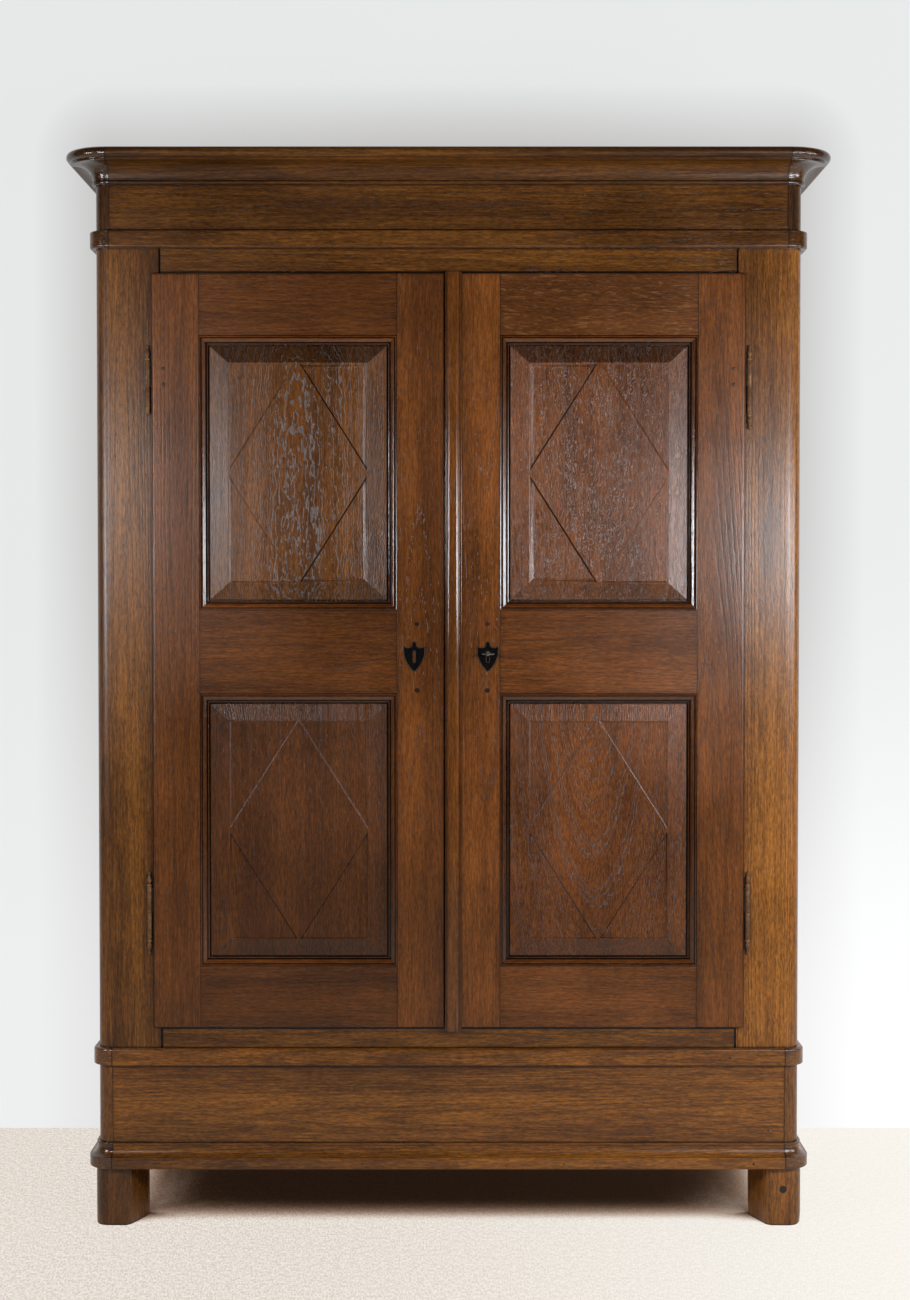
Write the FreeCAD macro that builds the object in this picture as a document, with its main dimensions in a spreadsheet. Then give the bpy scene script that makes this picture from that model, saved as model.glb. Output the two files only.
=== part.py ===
import FreeCAD, Part
import math
import os
import Sketcher

# A kas cupboard: plinth on four feet, framed carcass with two lipped doors, lift-off cornice.
# Millimetres. +Z up, the front looks along -Y, the origin is under the middle of the footprint.

DRIVING_SIZES = {
    "carcass_width": 1384,
    "carcass_depth": 520,
    "corner_radius": 29,
    "foot_height": 115,
    "plinth_height": 203,
    "carcass_height": 1637,
    "cornice_height": 154,
    "board_thickness": 22,
    "cover_board_thickness": 20,
    "board_inset": 12,
    "back_board_thickness": 18,
    "post_width": 125.5,
    "post_thickness": 48,
    "rear_post_width": 60,
    "rear_post_thickness": 45,
    "side_rail_height": 110,
    "side_rail_thickness": 26,
    "side_panel_thickness": 10,
    "front_rail_thickness": 21,
    "front_rail_gap": 1.5,
    "foot_proud": 6,
    "foot_front": 68,
    "foot_cant_across": 27,
    "foot_cant_back": 71,
    "foot_depth": 96,
    "foot_round": 20,
    "base_moulding_height": 49,
    "base_moulding_projection": 20,
    "base_band_projection": 11,
    "top_band_projection": 12.5,
    "band_height": 34,
    "crown_height": 64,
    "crown_projection": 57.5,
    "door_bottom": 393,
    "door_height": 1479.5,
    "door_thickness": 30,
    "door_half_width": 579.5,
    "door_seat_gap": 0.5,
    "door_side_clearance": 3,
    "lip_thickness": 10,
    "lip_overlap": 13,
    "lip_round": 5,
    "meeting_gap": 2.5,
    "meeting_edge": 6.8,
    "hinge_stile_width": 92,
    "panel_edge": 100.25,
    "top_rail_height": 121.5,
    "mid_rail_height": 163,
    "bottom_rail_height": 122,
    "groove_setback": 12,
    "groove_width": 8,
    "groove_depth": 10,
    "tenon_length": 60,
    "tenon_shoulder": 15,
    "panel_tongue": 9,
    "panel_moulding_width": 17,
    "bevel_across": 40,
    "bevel_along": 36,
    "panel_rise": 10,
    "field_ridge": 3,
    "field_sink": 2,
    "strip_width": 32.5,
    "strip_top": 1874,
    "strip_bottom": 387,
    "strip_fillet": 4.5,
    "strip_base": 3,
    "hinge_offset": 8.5,
    "hinge_forward": 5,
    "barrel_radius": 4.5,
    "pin_radius": 2.5,
    "pin_clearance": 0.1,
    "knuckle_length": 52,
    "knuckle_gap": 0.4,
    "finial_length": 30,
    "leaf_thickness": 3,
    "leaf_reach": 28,
    "upper_hinge": 1650,
    "lower_hinge": 619,
    "left_shield_across": 67,
    "right_shield_across": 77,
    "shield_centre": 1124,
    "shield_thickness": 1.6,
    "key_rise": 5.5,
    "lock_depth": 18,
    "lock_bolt_height": 12,
    "lock_bolt_thickness": 7,
    "door_bolt_width": 14,
    "door_bolt_thickness": 6,
    "shelf_thickness": 20,
    "shelf_setback": 56,
    "cleat_size": 20,
}

doc = FreeCAD.newDocument("kas_cupboard")
sheet = doc.addObject("Spreadsheet::Sheet", "Sizes")
for row, (alias, value) in enumerate(DRIVING_SIZES.items(), 1):
    sheet.set(f"A{row}", alias)
    sheet.set(f"B{row}", str(value))
    sheet.setAlias(f"B{row}", alias)
doc.recompute()


class Size:
    """A number together with the sheet expression that it comes from."""

    def __init__(self, value, text):
        self.value = value
        self.text = text

    def __add__(self, other):
        other = sized(other)
        return Size(self.value + other.value, f"({self.text} + {other.text})")

    def __sub__(self, other):
        other = sized(other)
        return Size(self.value - other.value, f"({self.text} - {other.text})")

    def __mul__(self, other):
        other = sized(other)
        return Size(self.value * other.value, f"({self.text} * {other.text})")

    def __truediv__(self, other):
        other = sized(other)
        return Size(self.value / other.value, f"({self.text} / {other.text})")

    def __neg__(self):
        return Size(-self.value, f"(0 - {self.text})")

    __radd__ = __add__
    __rmul__ = __mul__

    def __rsub__(self, other):
        return sized(other) - self


def sized(number):
    if isinstance(number, Size):
        return number
    return Size(float(number), f"({number})")


class Sizes:
    """The sheet's cells as Size attributes, one for each alias."""

    def __getattr__(self, alias):
        return Size(float(DRIVING_SIZES[alias]), f"Sizes.{alias}")


s = Sizes()

# Planes and levels that many pieces share.
half = s.carcass_width / 2
face = -(s.carcass_depth - s.crown_projection) / 2
back = face + s.carcass_depth
inner_back = back - s.back_board_thickness
corner_x = half - s.corner_radius
corner_y = face + s.corner_radius
carcass_bottom = s.foot_height + s.plinth_height
carcass_top = carcass_bottom + s.carcass_height
cornice_top = carcass_top + s.cornice_height
frame_bottom = carcass_bottom + s.cover_board_thickness
frame_top = carcass_top - s.cover_board_thickness
post_inner = half - s.post_width
side_inner = half - s.side_rail_thickness
rear_post_front = inner_back - s.rear_post_thickness
rail_back = face + s.front_rail_thickness
lip_back = face - s.door_seat_gap
door_front = lip_back - s.lip_thickness
door_back = door_front + s.door_thickness
door_top = s.door_bottom + s.door_height
body_edge = post_inner - s.door_side_clearance
groove_front = door_front + s.groove_setback
groove_back = groove_front + s.groove_width
panel_right = s.door_half_width - s.hinge_stile_width
panel_width = panel_right - s.panel_edge
panel_height = (s.door_height - s.top_rail_height - s.mid_rail_height - s.bottom_rail_height) / 2
lower_panel_bottom = s.door_bottom + s.bottom_rail_height
mid_rail_bottom = lower_panel_bottom + panel_height
mid_rail_top = mid_rail_bottom + s.mid_rail_height
upper_panel_top = mid_rail_top + panel_height
hinge_x = s.door_half_width + s.hinge_offset
hinge_y = face - s.hinge_forward
key_z = s.shield_centre + s.key_rise


# --- helpers -----------------------------------------------------------------------------------

nodes = []


def node(piece):
    """Marks a document object as a sub-part that is written to its own file."""
    nodes.append(piece)
    return piece


def bind(item, name, size):
    item.setExpression(name, sized(size).text)


def place(item, x=0, y=0, z=0):
    for axis, size in zip("xyz", (x, y, z)):
        bind(item, f"Placement.Base.{axis}", size)
    return item


def board(label, xs, ys, zs):
    """A square-edged board between two X, two Y and two Z planes."""
    box = doc.addObject("Part::Box", label)
    for name, (low, high) in zip(("Length", "Width", "Height"), (xs, ys, zs)):
        bind(box, name, sized(high) - low)
    return place(box, xs[0], ys[0], zs[0])


def rod(label, x, y, z, radius, length, direction=(0, 0, 1)):
    cylinder = doc.addObject("Part::Cylinder", label)
    turn = FreeCAD.Rotation(FreeCAD.Vector(0, 0, 1), FreeCAD.Vector(*direction))
    cylinder.Placement = FreeCAD.Placement(FreeCAD.Vector(), turn)
    bind(cylinder, "Radius", radius)
    bind(cylinder, "Height", length)
    return place(cylinder, x, y, z)


def cut(label, base, tools):
    tool = tools[0] if len(tools) == 1 else fuse(f"{label}_cutters", tools)
    result = doc.addObject("Part::Cut", label)
    result.Base = base
    result.Tool = tool
    return result


def fuse(label, members):
    result = doc.addObject("Part::MultiFuse", label)
    result.Shapes = members
    result.Refine = True
    return result


def group(label, members):
    """Separate solids that share one node."""
    result = doc.addObject("Part::Compound", label)
    result.Links = members
    return result


def mirror(source, label=None):
    """The same piece on the other side of the middle plane."""
    result = doc.addObject("Part::Mirroring", label or f"{source.Label}_mirror")
    result.Source = source
    result.Base = FreeCAD.Vector(0, 0, 0)
    result.Normal = FreeCAD.Vector(1, 0, 0)
    return result


def pair(label, source):
    return group(label, [source, mirror(source)])


def copy(source, x, y, z, turn_about_y=0):
    link = doc.addObject("App::Link", f"{source.Label}_copy")
    link.LinkedObject = source
    link.Placement = FreeCAD.Placement(FreeCAD.Vector(), FreeCAD.Rotation(0, turn_about_y, 0))
    return place(link, x, y, z)


def new_body(label, x=0, y=0, z=0):
    return place(doc.addObject("PartDesign::Body", label), x, y, z)


def new_sketch(body, plane, offset=0):
    """A sketch on one of the body's own origin planes, moved along its normal by offset."""
    sketch = body.newObject("Sketcher::SketchObject", f"{body.Label}_sketch")
    planes = [item for item in body.Origin.OriginFeatures if item.Role == f"{plane}_Plane"]
    sketch.AttachmentSupport = [(planes[0], "")]
    sketch.MapMode = "FlatFace"
    bind(sketch, "AttachmentOffset.Base.z", offset)
    return sketch


def outline(sketch, corners):
    """A closed outline. A corner's third value is the radius of the arc that leaves it:
    above zero it turns anticlockwise, below zero clockwise."""
    first = sketch.GeometryCount
    count = len(corners)
    starts, ends = [], []
    for index, corner in enumerate(corners):
        following = corners[(index + 1) % count]
        start = FreeCAD.Vector(sized(corner[0]).value, sized(corner[1]).value, 0)
        end = FreeCAD.Vector(sized(following[0]).value, sized(following[1]).value, 0)
        if len(corner) == 2:
            sketch.addGeometry(Part.LineSegment(start, end), False)
            starts.append(1)
            ends.append(2)
            continue
        radius = sized(corner[2]).value
        chord = end - start
        left = FreeCAD.Vector(-chord.y, chord.x, 0).normalize()
        rise = math.sqrt(radius ** 2 - (chord.Length / 2) ** 2)
        centre = (start + end) / 2 + left * math.copysign(rise, radius)
        low, high = (start, end) if radius > 0 else (end, start)
        low_angle = math.atan2(low.y - centre.y, low.x - centre.x)
        high_angle = math.atan2(high.y - centre.y, high.x - centre.x)
        if high_angle < low_angle:
            high_angle += 2 * math.pi
        circle = Part.Circle(centre, FreeCAD.Vector(0, 0, 1), abs(radius))
        sketch.addGeometry(Part.ArcOfCircle(circle, low_angle, high_angle), False)
        starts.append(1 if radius > 0 else 2)
        ends.append(2 if radius > 0 else 1)
    for index, corner in enumerate(corners):
        following = (index + 1) % count
        line = first + index
        meet = ("Coincident", line, ends[index], first + following, starts[following])
        sketch.addConstraint(Sketcher.Constraint(*meet))
        for kind, size in zip(("DistanceX", "DistanceY"), corner):
            held = Sketcher.Constraint(kind, -1, 1, line, starts[index], sized(size).value)
            bind(sketch, f"Constraints[{sketch.addConstraint(held)}]", size)
        if len(corner) == 3:
            size = corner[2] if sized(corner[2]).value > 0 else -sized(corner[2])
            held = Sketcher.Constraint("Radius", line, sized(size).value)
            bind(sketch, f"Constraints[{sketch.addConstraint(held)}]", size)
    return sketch


def rectangle(sketch, width, height):
    w, h = sized(width) / 2, sized(height) / 2
    return outline(sketch, [(-w, -h), (w, -h), (w, h), (-w, h)])


def pad(body, sketch, length, both_ways=False):
    feature = body.newObject("PartDesign::Pad", f"{body.Label}_pad")
    feature.Profile = sketch
    feature.Midplane = both_ways
    bind(feature, "Length", length)
    return body


def pocket(body, sketch, depth, taper=0, both_ways=False):
    """Cuts from the sketch back along its normal."""
    feature = body.newObject("PartDesign::Pocket", f"{body.Label}_pocket")
    feature.Profile = sketch
    feature.Midplane = both_ways
    bind(feature, "Length", depth)
    bind(feature, "TaperAngle", taper)
    return body


def revolve(body, sketch, angle=360, clockwise=False):
    feature = body.newObject("PartDesign::Revolution", f"{body.Label}_turning")
    feature.Profile = sketch
    feature.ReferenceAxis = (sketch, ["V_Axis"])
    feature.Reversed = clockwise
    bind(feature, "Angle", angle)
    return body


def dress(body, kind, size_name, size, wanted):
    """A fillet or chamfer on the edges whose box in the body's frame is wanted."""
    doc.recompute()
    source = body.Tip
    edges = enumerate(source.Shape.Edges, 1)
    names = [f"Edge{index}" for index, edge in edges if wanted(edge.BoundBox)]
    feature = body.newObject(f"PartDesign::{kind}", f"{body.Label}_{kind.lower()}")
    feature.Base = (source, names)
    bind(feature, size_name, size)
    return body


def block(label, xs, ys, zs):
    """A board made as a body, so that its edges can be rounded."""
    body = new_body(label, 0, 0, zs[0])
    sketch = new_sketch(body, "XY")
    (x0, x1), (y0, y1) = xs, ys
    outline(sketch, [(x0, y0), (x1, y0), (x1, y1), (x0, y1)])
    return pad(body, sketch, sized(zs[1]) - zs[0])


def near(first, second):
    return abs(first - sized(second).value) < 0.01


# --- mouldings that run round the front and both sides ------------------------------------------

def run_round(name, section, level, corner_label=None):
    """One section as a front length, two rounded corners and two side lengths, butted together.
    A corner of the section is (projection, height) and may hold an arc's radius."""
    front = new_body(f"{name}_front", 0, face, level)
    sketch = new_sketch(front, "YZ")
    seen_from_side = [(-sized(c[0]), c[1], *[-sized(r) for r in c[2:]]) for c in section]
    outline(sketch, seen_from_side)
    pad(front, sketch, corner_x * 2, both_ways=True)

    corner = new_body(f"{name}_corner", corner_x, corner_y, level)
    sketch = new_sketch(corner, "XZ")
    outline(sketch, [(s.corner_radius + c[0], *c[1:]) for c in section])
    revolve(corner, sketch, 90, clockwise=True)

    side = new_body(f"{name}_side", half, back, level)
    sketch = new_sketch(side, "XZ")
    outline(sketch, section)
    pad(side, sketch, back - corner_y)

    node(front)
    node(pair(f"{name}_corners", corner))
    node(pair(f"{name}_returns", side))


def band_section(projection, low_ease, high_ease):
    """A flat band with its two front edges eased."""
    return [(0, 0), (projection - low_ease, 0), (projection, low_ease),
            (projection, s.band_height - high_ease), (projection - high_ease, s.band_height),
            (0, s.band_height)]


def base_moulding_section():
    """A flat fascia, a step, a hollow that climbs back to the plinth and a small top fillet."""
    projection = s.base_moulding_projection
    return [(0, 0), (projection - 2.5, 0), (projection, 2.5), (projection, 23),
            (projection - 3, 23, -19.5), (4.5, 44), (6, 44), (6, s.base_moulding_height),
            (0, s.base_moulding_height)]


def crown_section():
    """A small bead, a deep hollow, a fillet and a broad rounded nosing."""
    nose = s.crown_projection - 8.81
    top = s.crown_height
    return [(0, 0), (5.5, 0), (8, 2), (8, 5.5), (6, 7.5, -32.2), (38, 39.5), (nose - 1.5, 39.5),
            (nose - 1.5, 44), (nose + 1.5, 44), (s.crown_projection, 48), (s.crown_projection, 53),
            (nose + 3.5, top), (0, top)]


run_round("base_moulding", base_moulding_section(), s.foot_height)
run_round("base_band", band_section(s.base_band_projection, 1.5, 4), carcass_bottom)
run_round("top_band", band_section(s.top_band_projection, 3, 1.5), carcass_top - s.band_height)
run_round("crown", crown_section(), cornice_top - s.crown_height)


# --- plinth and cornice boxes -----------------------------------------------------------------

def rounded_corner(label, low, high):
    """The quarter-round block between the front board and the side board."""
    body = new_body(label, corner_x, corner_y, low)
    sketch = new_sketch(body, "XY")
    outline(sketch, [(0, 0), (0, -s.corner_radius, s.corner_radius), (s.corner_radius, 0)])
    return pad(body, sketch, high - low)


def board_box(name, low, high):
    """The front board, side boards, rear board and front corner blocks of one level."""
    node(board(f"{name}_board_front", (-corner_x, corner_x),
               (face, face + s.board_thickness), (low, high)))
    side = board(f"{name}_side", (half - s.board_thickness, half),
                 (corner_y, back - s.board_thickness), (low, high))
    rear = board(f"{name}_rear", (-half, half), (back - s.board_thickness, back), (low, high))
    node(group(f"{name}_boards_side_and_rear", [side, mirror(side), rear]))
    node(pair(f"{name}_corner_blocks", rounded_corner(f"{name}_corner_block", low, high)))


board_box("plinth", s.foot_height, carcass_bottom)
board_box("frieze", carcass_top, cornice_top)


# --- feet -------------------------------------------------------------------------------------

def front_foot():
    """A block foot: rounded outer corner, flat front, and an inner face canted back."""
    outer = half + s.foot_proud
    inner = outer - s.foot_front - s.foot_cant_across
    front = face - s.foot_proud
    body = new_body("foot_front_right")
    sketch = new_sketch(body, "XY")
    outline(sketch, [(outer, front), (outer, front + s.foot_depth), (inner, front + s.foot_depth),
                     (inner, front + s.foot_cant_back), (outer - s.foot_front, front)])
    pad(body, sketch, s.foot_height)
    dress(body, "Fillet", "Radius", s.corner_radius,
          lambda box: near(box.XMin, outer) and near(box.YMax, front))
    dress(body, "Fillet", "Radius", s.foot_round,
          lambda box: near(box.XMax, outer - s.foot_front) and near(box.YMax, front)
          and box.ZLength > 1)
    return body


right_foot = node(front_foot())
node(mirror(right_foot, "foot_front_left"))
rear_foot = board("rear_foot", (half - s.foot_front, half), (back - s.foot_front, back),
                  (0, s.foot_height))
node(pair("feet_rear", rear_foot))


# --- carcass ----------------------------------------------------------------------------------

def hinge_levels():
    return (s.upper_hinge, s.lower_hinge)


def leaf_slots():
    """The straight leaves that run back from the lower knuckles into the post."""
    leaves = []
    for level in hinge_levels():
        leaves.append(board("post_leaf", (hinge_x - s.leaf_thickness / 2, hinge_x + s.leaf_thickness / 2),
                            (hinge_y, face + s.leaf_reach),
                            (level - s.knuckle_length + 2, level - 2)))
    return leaves


def panel_boxes():
    """The thin panels of one side, whose edges stand in grooves all round."""
    levels = side_rail_levels()
    outer = half - s.side_rail_thickness / 2 + s.side_panel_thickness / 2
    panels = []
    for lower, upper in zip(levels, levels[1:]):
        panels.append(board("side_panel", (outer - s.side_panel_thickness, outer),
                            (face + s.post_thickness - 8, rear_post_front + 8),
                            (lower + s.side_rail_height - 8, upper + 8)))
    return panels


def side_rail_levels():
    top = frame_top - s.side_rail_height
    return [frame_bottom, (frame_bottom + top) / 2, top]


side_panel_set = panel_boxes()
post_leaves = leaf_slots()
side_rail_set = [board("side_rail", (side_inner, half),
                       (face + s.post_thickness, rear_post_front),
                       (level, level + s.side_rail_height)) for level in side_rail_levels()]

# The front rails stand between the posts on tenons, a hair short of the posts as seen.
front_rail_ends = (-(post_inner - s.front_rail_gap), post_inner - s.front_rail_gap)
lower_rail_top = s.door_bottom + s.lip_thickness
upper_rail_bottom = door_top - s.lip_thickness


def front_rail(label, low, high):
    rail = board(f"{label}_board", front_rail_ends, (face, rail_back), (low, high))
    tenon = board(f"{label}_tenon", (-(post_inner + 40), post_inner + 40),
                  (face + 6, face + 14), (low + 12, high - 12))
    return rail, tenon


low_rail, low_tenon = front_rail("front_rail_bottom", frame_bottom, lower_rail_top)
high_rail, high_tenon = front_rail("front_rail_top", upper_rail_bottom, frame_top)
node(fuse("front_rail_bottom", [low_rail, low_tenon]))
node(fuse("front_rail_top", [high_rail, high_tenon]))

front_post = block("front_post", (post_inner, half), (face, face + s.post_thickness),
                   (frame_bottom, frame_top))
dress(front_post, "Fillet", "Radius", s.corner_radius,
      lambda box: near(box.XMin, half) and near(box.YMax, face))
right_post = node(cut("front_post_right", front_post,
                      side_panel_set + post_leaves + [low_tenon, high_tenon]))
node(mirror(right_post, "front_post_left"))

rear_post = board("rear_post", (half - s.rear_post_width, half), (rear_post_front, inner_back),
                  (frame_bottom, frame_top))
node(pair("rear_posts", cut("rear_post_grooved", rear_post, side_panel_set)))
node(pair("side_rails", cut("side_rails_grooved", group("side_rails_plain", side_rail_set),
                            side_panel_set)))
node(pair("side_panels", group("side_panels_right", side_panel_set)))

rear_rail_x = half - s.rear_post_width
rear_rails = [board("rear_rail", (-rear_rail_x, rear_rail_x), (inner_back - s.board_thickness, inner_back),
                    (low, low + s.side_rail_height))
              for low in (frame_bottom, frame_top - s.side_rail_height)]
node(group("rear_rails", rear_rails))


def planks(label, count, low, high, make):
    """Boards laid edge to edge between low and high, with a hair-line joint between them."""
    step = (high - low) / count
    joint = 0.6
    return group(label, [make(low + step * index, low + step * (index + 1) - joint)
                         for index in range(count)])


inset_x = (-(half - s.board_inset), half - s.board_inset)


def cover_boards(label, level):
    return planks(label, 4, face + s.board_inset, inner_back,
                  lambda y0, y1: board(f"{label}_board", inset_x, (y0, y1),
                                       (level, level + s.cover_board_thickness)))


node(cover_boards("floor_boards", carcass_bottom))
node(cover_boards("ceiling_boards", frame_top))
node(planks("back_boards", 7, -half, half,
            lambda x0, x1: board("back_board", (x0, x1), (inner_back, back),
                                 (carcass_bottom, carcass_top))))

# Three shelves rest on cleats and are notched round the rear posts.
shelf_levels = [710, 1110, 1510]
shelf_x = side_inner - 1
shelf_front = face + s.shelf_setback
shelf_notch = board("shelf_notch", (half - s.rear_post_width - 2, half), (rear_post_front - 2, back),
                    (0, cornice_top))
shelf_notches = [shelf_notch, mirror(shelf_notch)]
shelf_boards = [board("shelf", (-shelf_x, shelf_x), (shelf_front, inner_back - 1),
                      (level, level + s.shelf_thickness)) for level in shelf_levels]
node(cut("shelves", group("shelf_boards", shelf_boards), shelf_notches))
cleats = [board("shelf_cleat", (side_inner - s.cleat_size, side_inner),
                (shelf_front + 4, rear_post_front), (level - s.cleat_size, level))
          for level in shelf_levels]
node(pair("shelf_cleats", group("shelf_cleats_right", cleats)))


# --- hinges -----------------------------------------------------------------------------------

def finial(base, sign):
    """Corners of a slim finial with an acorn tip, from the barrel's end outwards."""
    def at(distance):
        return base + distance * sign
    widest = s.finial_length - 6
    return [(s.barrel_radius, at(0)), (2.6, at(0)), (2.6, at(widest - 2.5)), (4.4, at(widest)),
            (0, at(s.finial_length))]


def hinge_sleeve():
    """The upper knuckle: a bored barrel with a finial, turned in one piece."""
    body = new_body("hinge_sleeve")
    sketch = new_sketch(body, "XZ")
    bore = s.pin_radius + s.pin_clearance
    pin_top = s.knuckle_length - 12
    outline(sketch, [(bore, 0), (s.barrel_radius, 0)] + finial(s.knuckle_length, 1)
            + [(0, pin_top + 1), (bore, pin_top + 1)])
    return revolve(body, sketch)


def hinge_pintle(label, with_finial):
    """The lower knuckle with the pin that carries the sleeve."""
    body = new_body(label)
    sketch = new_sketch(body, "XZ")
    seat = -s.knuckle_gap
    foot = -s.knuckle_length
    tip = finial(foot, -1) if with_finial else [(s.barrel_radius, foot), (0, foot)]
    pin_top = s.knuckle_length - 12
    outline(sketch, [(s.pin_radius, pin_top), (s.pin_radius, seat), (s.barrel_radius, seat)]
            + tip + [(0, pin_top)])
    return revolve(body, sketch)


def door_leaf(level):
    """The flat leaf from the sleeve into the lip of the door."""
    return board("door_leaf", (s.door_half_width - s.leaf_reach + 6, hinge_x),
                 (hinge_y - s.leaf_thickness / 2, hinge_y + s.leaf_thickness / 2),
                 (level + 2, level + s.knuckle_length - 2))


def bored_leaf(level):
    """The same leaf with the pin's way cleared through it."""
    bore = rod("leaf_bore", hinge_x, hinge_y, level, s.pin_radius + s.pin_clearance, s.knuckle_length)
    return cut("door_leaf_bored", door_leaf(level), [bore])


sleeve = hinge_sleeve()
pintle = hinge_pintle("hinge_pintle", True)
plain_pintle = hinge_pintle("hinge_pintle_plain", False)
right_sleeves = [fuse("hinge_sleeve_with_leaf", [copy(sleeve, hinge_x, hinge_y, level), bored_leaf(level)])
                 for level in hinge_levels()]
node(group("right_hinge_sleeves", right_sleeves))
node(mirror(nodes[-1], "left_hinge_sleeves"))


def pintle_with_leaf(source, leaf, level):
    return fuse("hinge_pintle_with_leaf", [copy(source, hinge_x, hinge_y, level), leaf])


upper_leaf, lower_leaf = post_leaves
upper_pintle = pintle_with_leaf(pintle, upper_leaf, s.upper_hinge)
lower_pintle = pintle_with_leaf(pintle, lower_leaf, s.lower_hinge)
# The left upper pintle has lost its finial.
worn_pintle = pintle_with_leaf(plain_pintle, upper_leaf, s.upper_hinge)
node(group("hinge_pintles", [upper_pintle, lower_pintle, mirror(worn_pintle), mirror(lower_pintle)]))


# --- raised panels with a sunk field and a lozenge ---------------------------------------------

def raised_panel(label, centre_x, low):
    """Tongue all round, bevels rising to a ridge, and four sunk corners that leave a lozenge."""
    body = new_body(label, centre_x, groove_back, low + panel_height / 2)
    edge = new_sketch(body, "XZ")
    rectangle(edge, panel_width + s.panel_tongue * 2, panel_height + s.panel_tongue * 2)
    pad(body, edge, s.groove_width)

    foot_width = panel_width - s.panel_moulding_width * 2
    foot_height = panel_height - s.panel_moulding_width * 2
    field_width = foot_width - s.bevel_across * 2
    field_height = foot_height - s.bevel_along * 2
    bevels = body.newObject("PartDesign::AdditiveWedge", f"{label}_bevels")
    bevels.Placement = FreeCAD.Placement(FreeCAD.Vector(), FreeCAD.Rotation(180, 0, 0))
    for name, size in (("X", foot_width), ("Z", foot_height), ("X2", field_width), ("Z2", field_height)):
        bind(bevels, f"{name}min", -(size / 2))
        bind(bevels, f"{name}max", size / 2)
    bind(bevels, "Ymin", s.groove_width)
    bind(bevels, "Ymax", s.groove_width + s.panel_rise)

    corners = new_sketch(body, "XZ", s.groove_width + s.panel_rise)
    far_x = field_width / 2 - s.field_ridge
    far_z = field_height / 2 - s.field_ridge
    near_x = s.field_ridge * 2
    near_z = s.field_ridge * 2 * 1.6
    for side, up in ((1, 1), (-1, 1), (-1, -1), (1, -1)):
        triangle = [(far_x * side, far_z * up), (near_x * side, far_z * up), (far_x * side, near_z * up)]
        if side * up < 0:
            triangle.reverse()
        outline(corners, triangle)
    return pocket(body, corners, s.field_sink, taper=-40)


right_panel_x = s.panel_edge + panel_width / 2
for side_name, centre in (("right", right_panel_x), ("left", -right_panel_x)):
    node(raised_panel(f"{side_name}_upper_panel", centre, mid_rail_top))
    node(raised_panel(f"{side_name}_lower_panel", centre, lower_panel_bottom))


# --- mitred mouldings round the panels ---------------------------------------------------------

def moulding_stick(label, length):
    """A length of panel moulding: quirk, ovolo and inner fillet, with both ends mitred."""
    body = new_body(label)
    width = s.panel_moulding_width
    section = new_sketch(body, "YZ")
    outline(section, [(0, 0), (-(s.groove_setback - 2.5), 0), (-(s.groove_setback - 2.5), 2.6),
                      (-(s.groove_setback + 0.6), 3.4, -12.5), (-3, width - 1.8),
                      (-1.6, width - 1.8), (-1.6, width), (0, width)])
    pad(body, section, length, both_ways=True)
    mitres = new_sketch(body, "XZ")
    end = length / 2
    over = 1
    for side in (1, -1):
        triangle = [((end + over) * side, -over), ((end + over) * side, width + over),
                    ((end - width - over) * side, width + over)]
        if side < 0:
            triangle.reverse()
        outline(mitres, triangle)
    return pocket(body, mitres, s.door_thickness * 2, both_ways=True)


short_stick = moulding_stick("moulding_stick_short", panel_width)
long_stick = moulding_stick("moulding_stick_long", panel_height)
sticks = []
for low in (lower_panel_bottom, mid_rail_top):
    centre_z = low + panel_height / 2
    sticks.append(copy(short_stick, right_panel_x, groove_front, low))
    sticks.append(copy(short_stick, right_panel_x, groove_front, low + panel_height, 180))
    sticks.append(copy(long_stick, s.panel_edge, groove_front, centre_z, 90))
    sticks.append(copy(long_stick, panel_right, groove_front, centre_z, -90))
node(group("right_panel_mouldings", sticks))
node(mirror(nodes[-1], "left_panel_mouldings"))


# --- door frames ------------------------------------------------------------------------------

def rail_pieces(label, left, right, low, high):
    """A rail between two stiles with a tenon in each of them."""
    rail = block(f"{label}_bare", (left, right), (door_front, door_back), (low, high))
    tenon = board(f"{label}_tenon", (left - s.tenon_length, right + s.tenon_length),
                  (groove_front, groove_back), (low + s.tenon_shoulder, high - s.tenon_shoulder))
    return rail, tenon


def frame_cutters():
    """What is taken off the right door's frame: the rebate behind the lip and the panel grooves."""
    ends = (-40, s.door_half_width + 10)
    depth = (lip_back, door_back + 10)
    cutters = [board("rebate_side", (body_edge, s.door_half_width + 10), depth,
                     (s.door_bottom - 10, door_top + 10)),
               board("rebate_top", ends, depth, (upper_rail_bottom - 2, door_top + 10)),
               board("rebate_bottom", ends, depth, (s.door_bottom - 10, lower_rail_top + 2))]
    for low in (lower_panel_bottom, mid_rail_top):
        cutters.append(board("panel_groove",
                             (s.panel_edge - s.groove_depth, panel_right + s.groove_depth),
                             (groove_front, groove_back),
                             (low - s.groove_depth, low + panel_height + s.groove_depth)))
    return cutters


cutters = frame_cutters()
rail_spans = [("top_rail", upper_panel_top, door_top), ("mid_rail", mid_rail_bottom, mid_rail_top),
              ("bottom_rail", s.door_bottom, lower_panel_bottom)]
rails, tenons = [], []
for rail_name, low, high in rail_spans:
    rail, tenon = rail_pieces(rail_name, s.panel_edge, panel_right, low, high)
    outer_edge = {"top_rail": high, "bottom_rail": low}.get(rail_name)
    if outer_edge is not None:
        level = outer_edge - low
        dress(rail, "Fillet", "Radius", s.lip_round,
              lambda box: near(box.YMax, door_front) and near(box.ZMin, level) and near(box.ZMax, level))
    rails.append(fuse(rail_name, [cut(f"{rail_name}_grooved", rail, cutters), tenon]))
    tenons.append(tenon)
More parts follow.
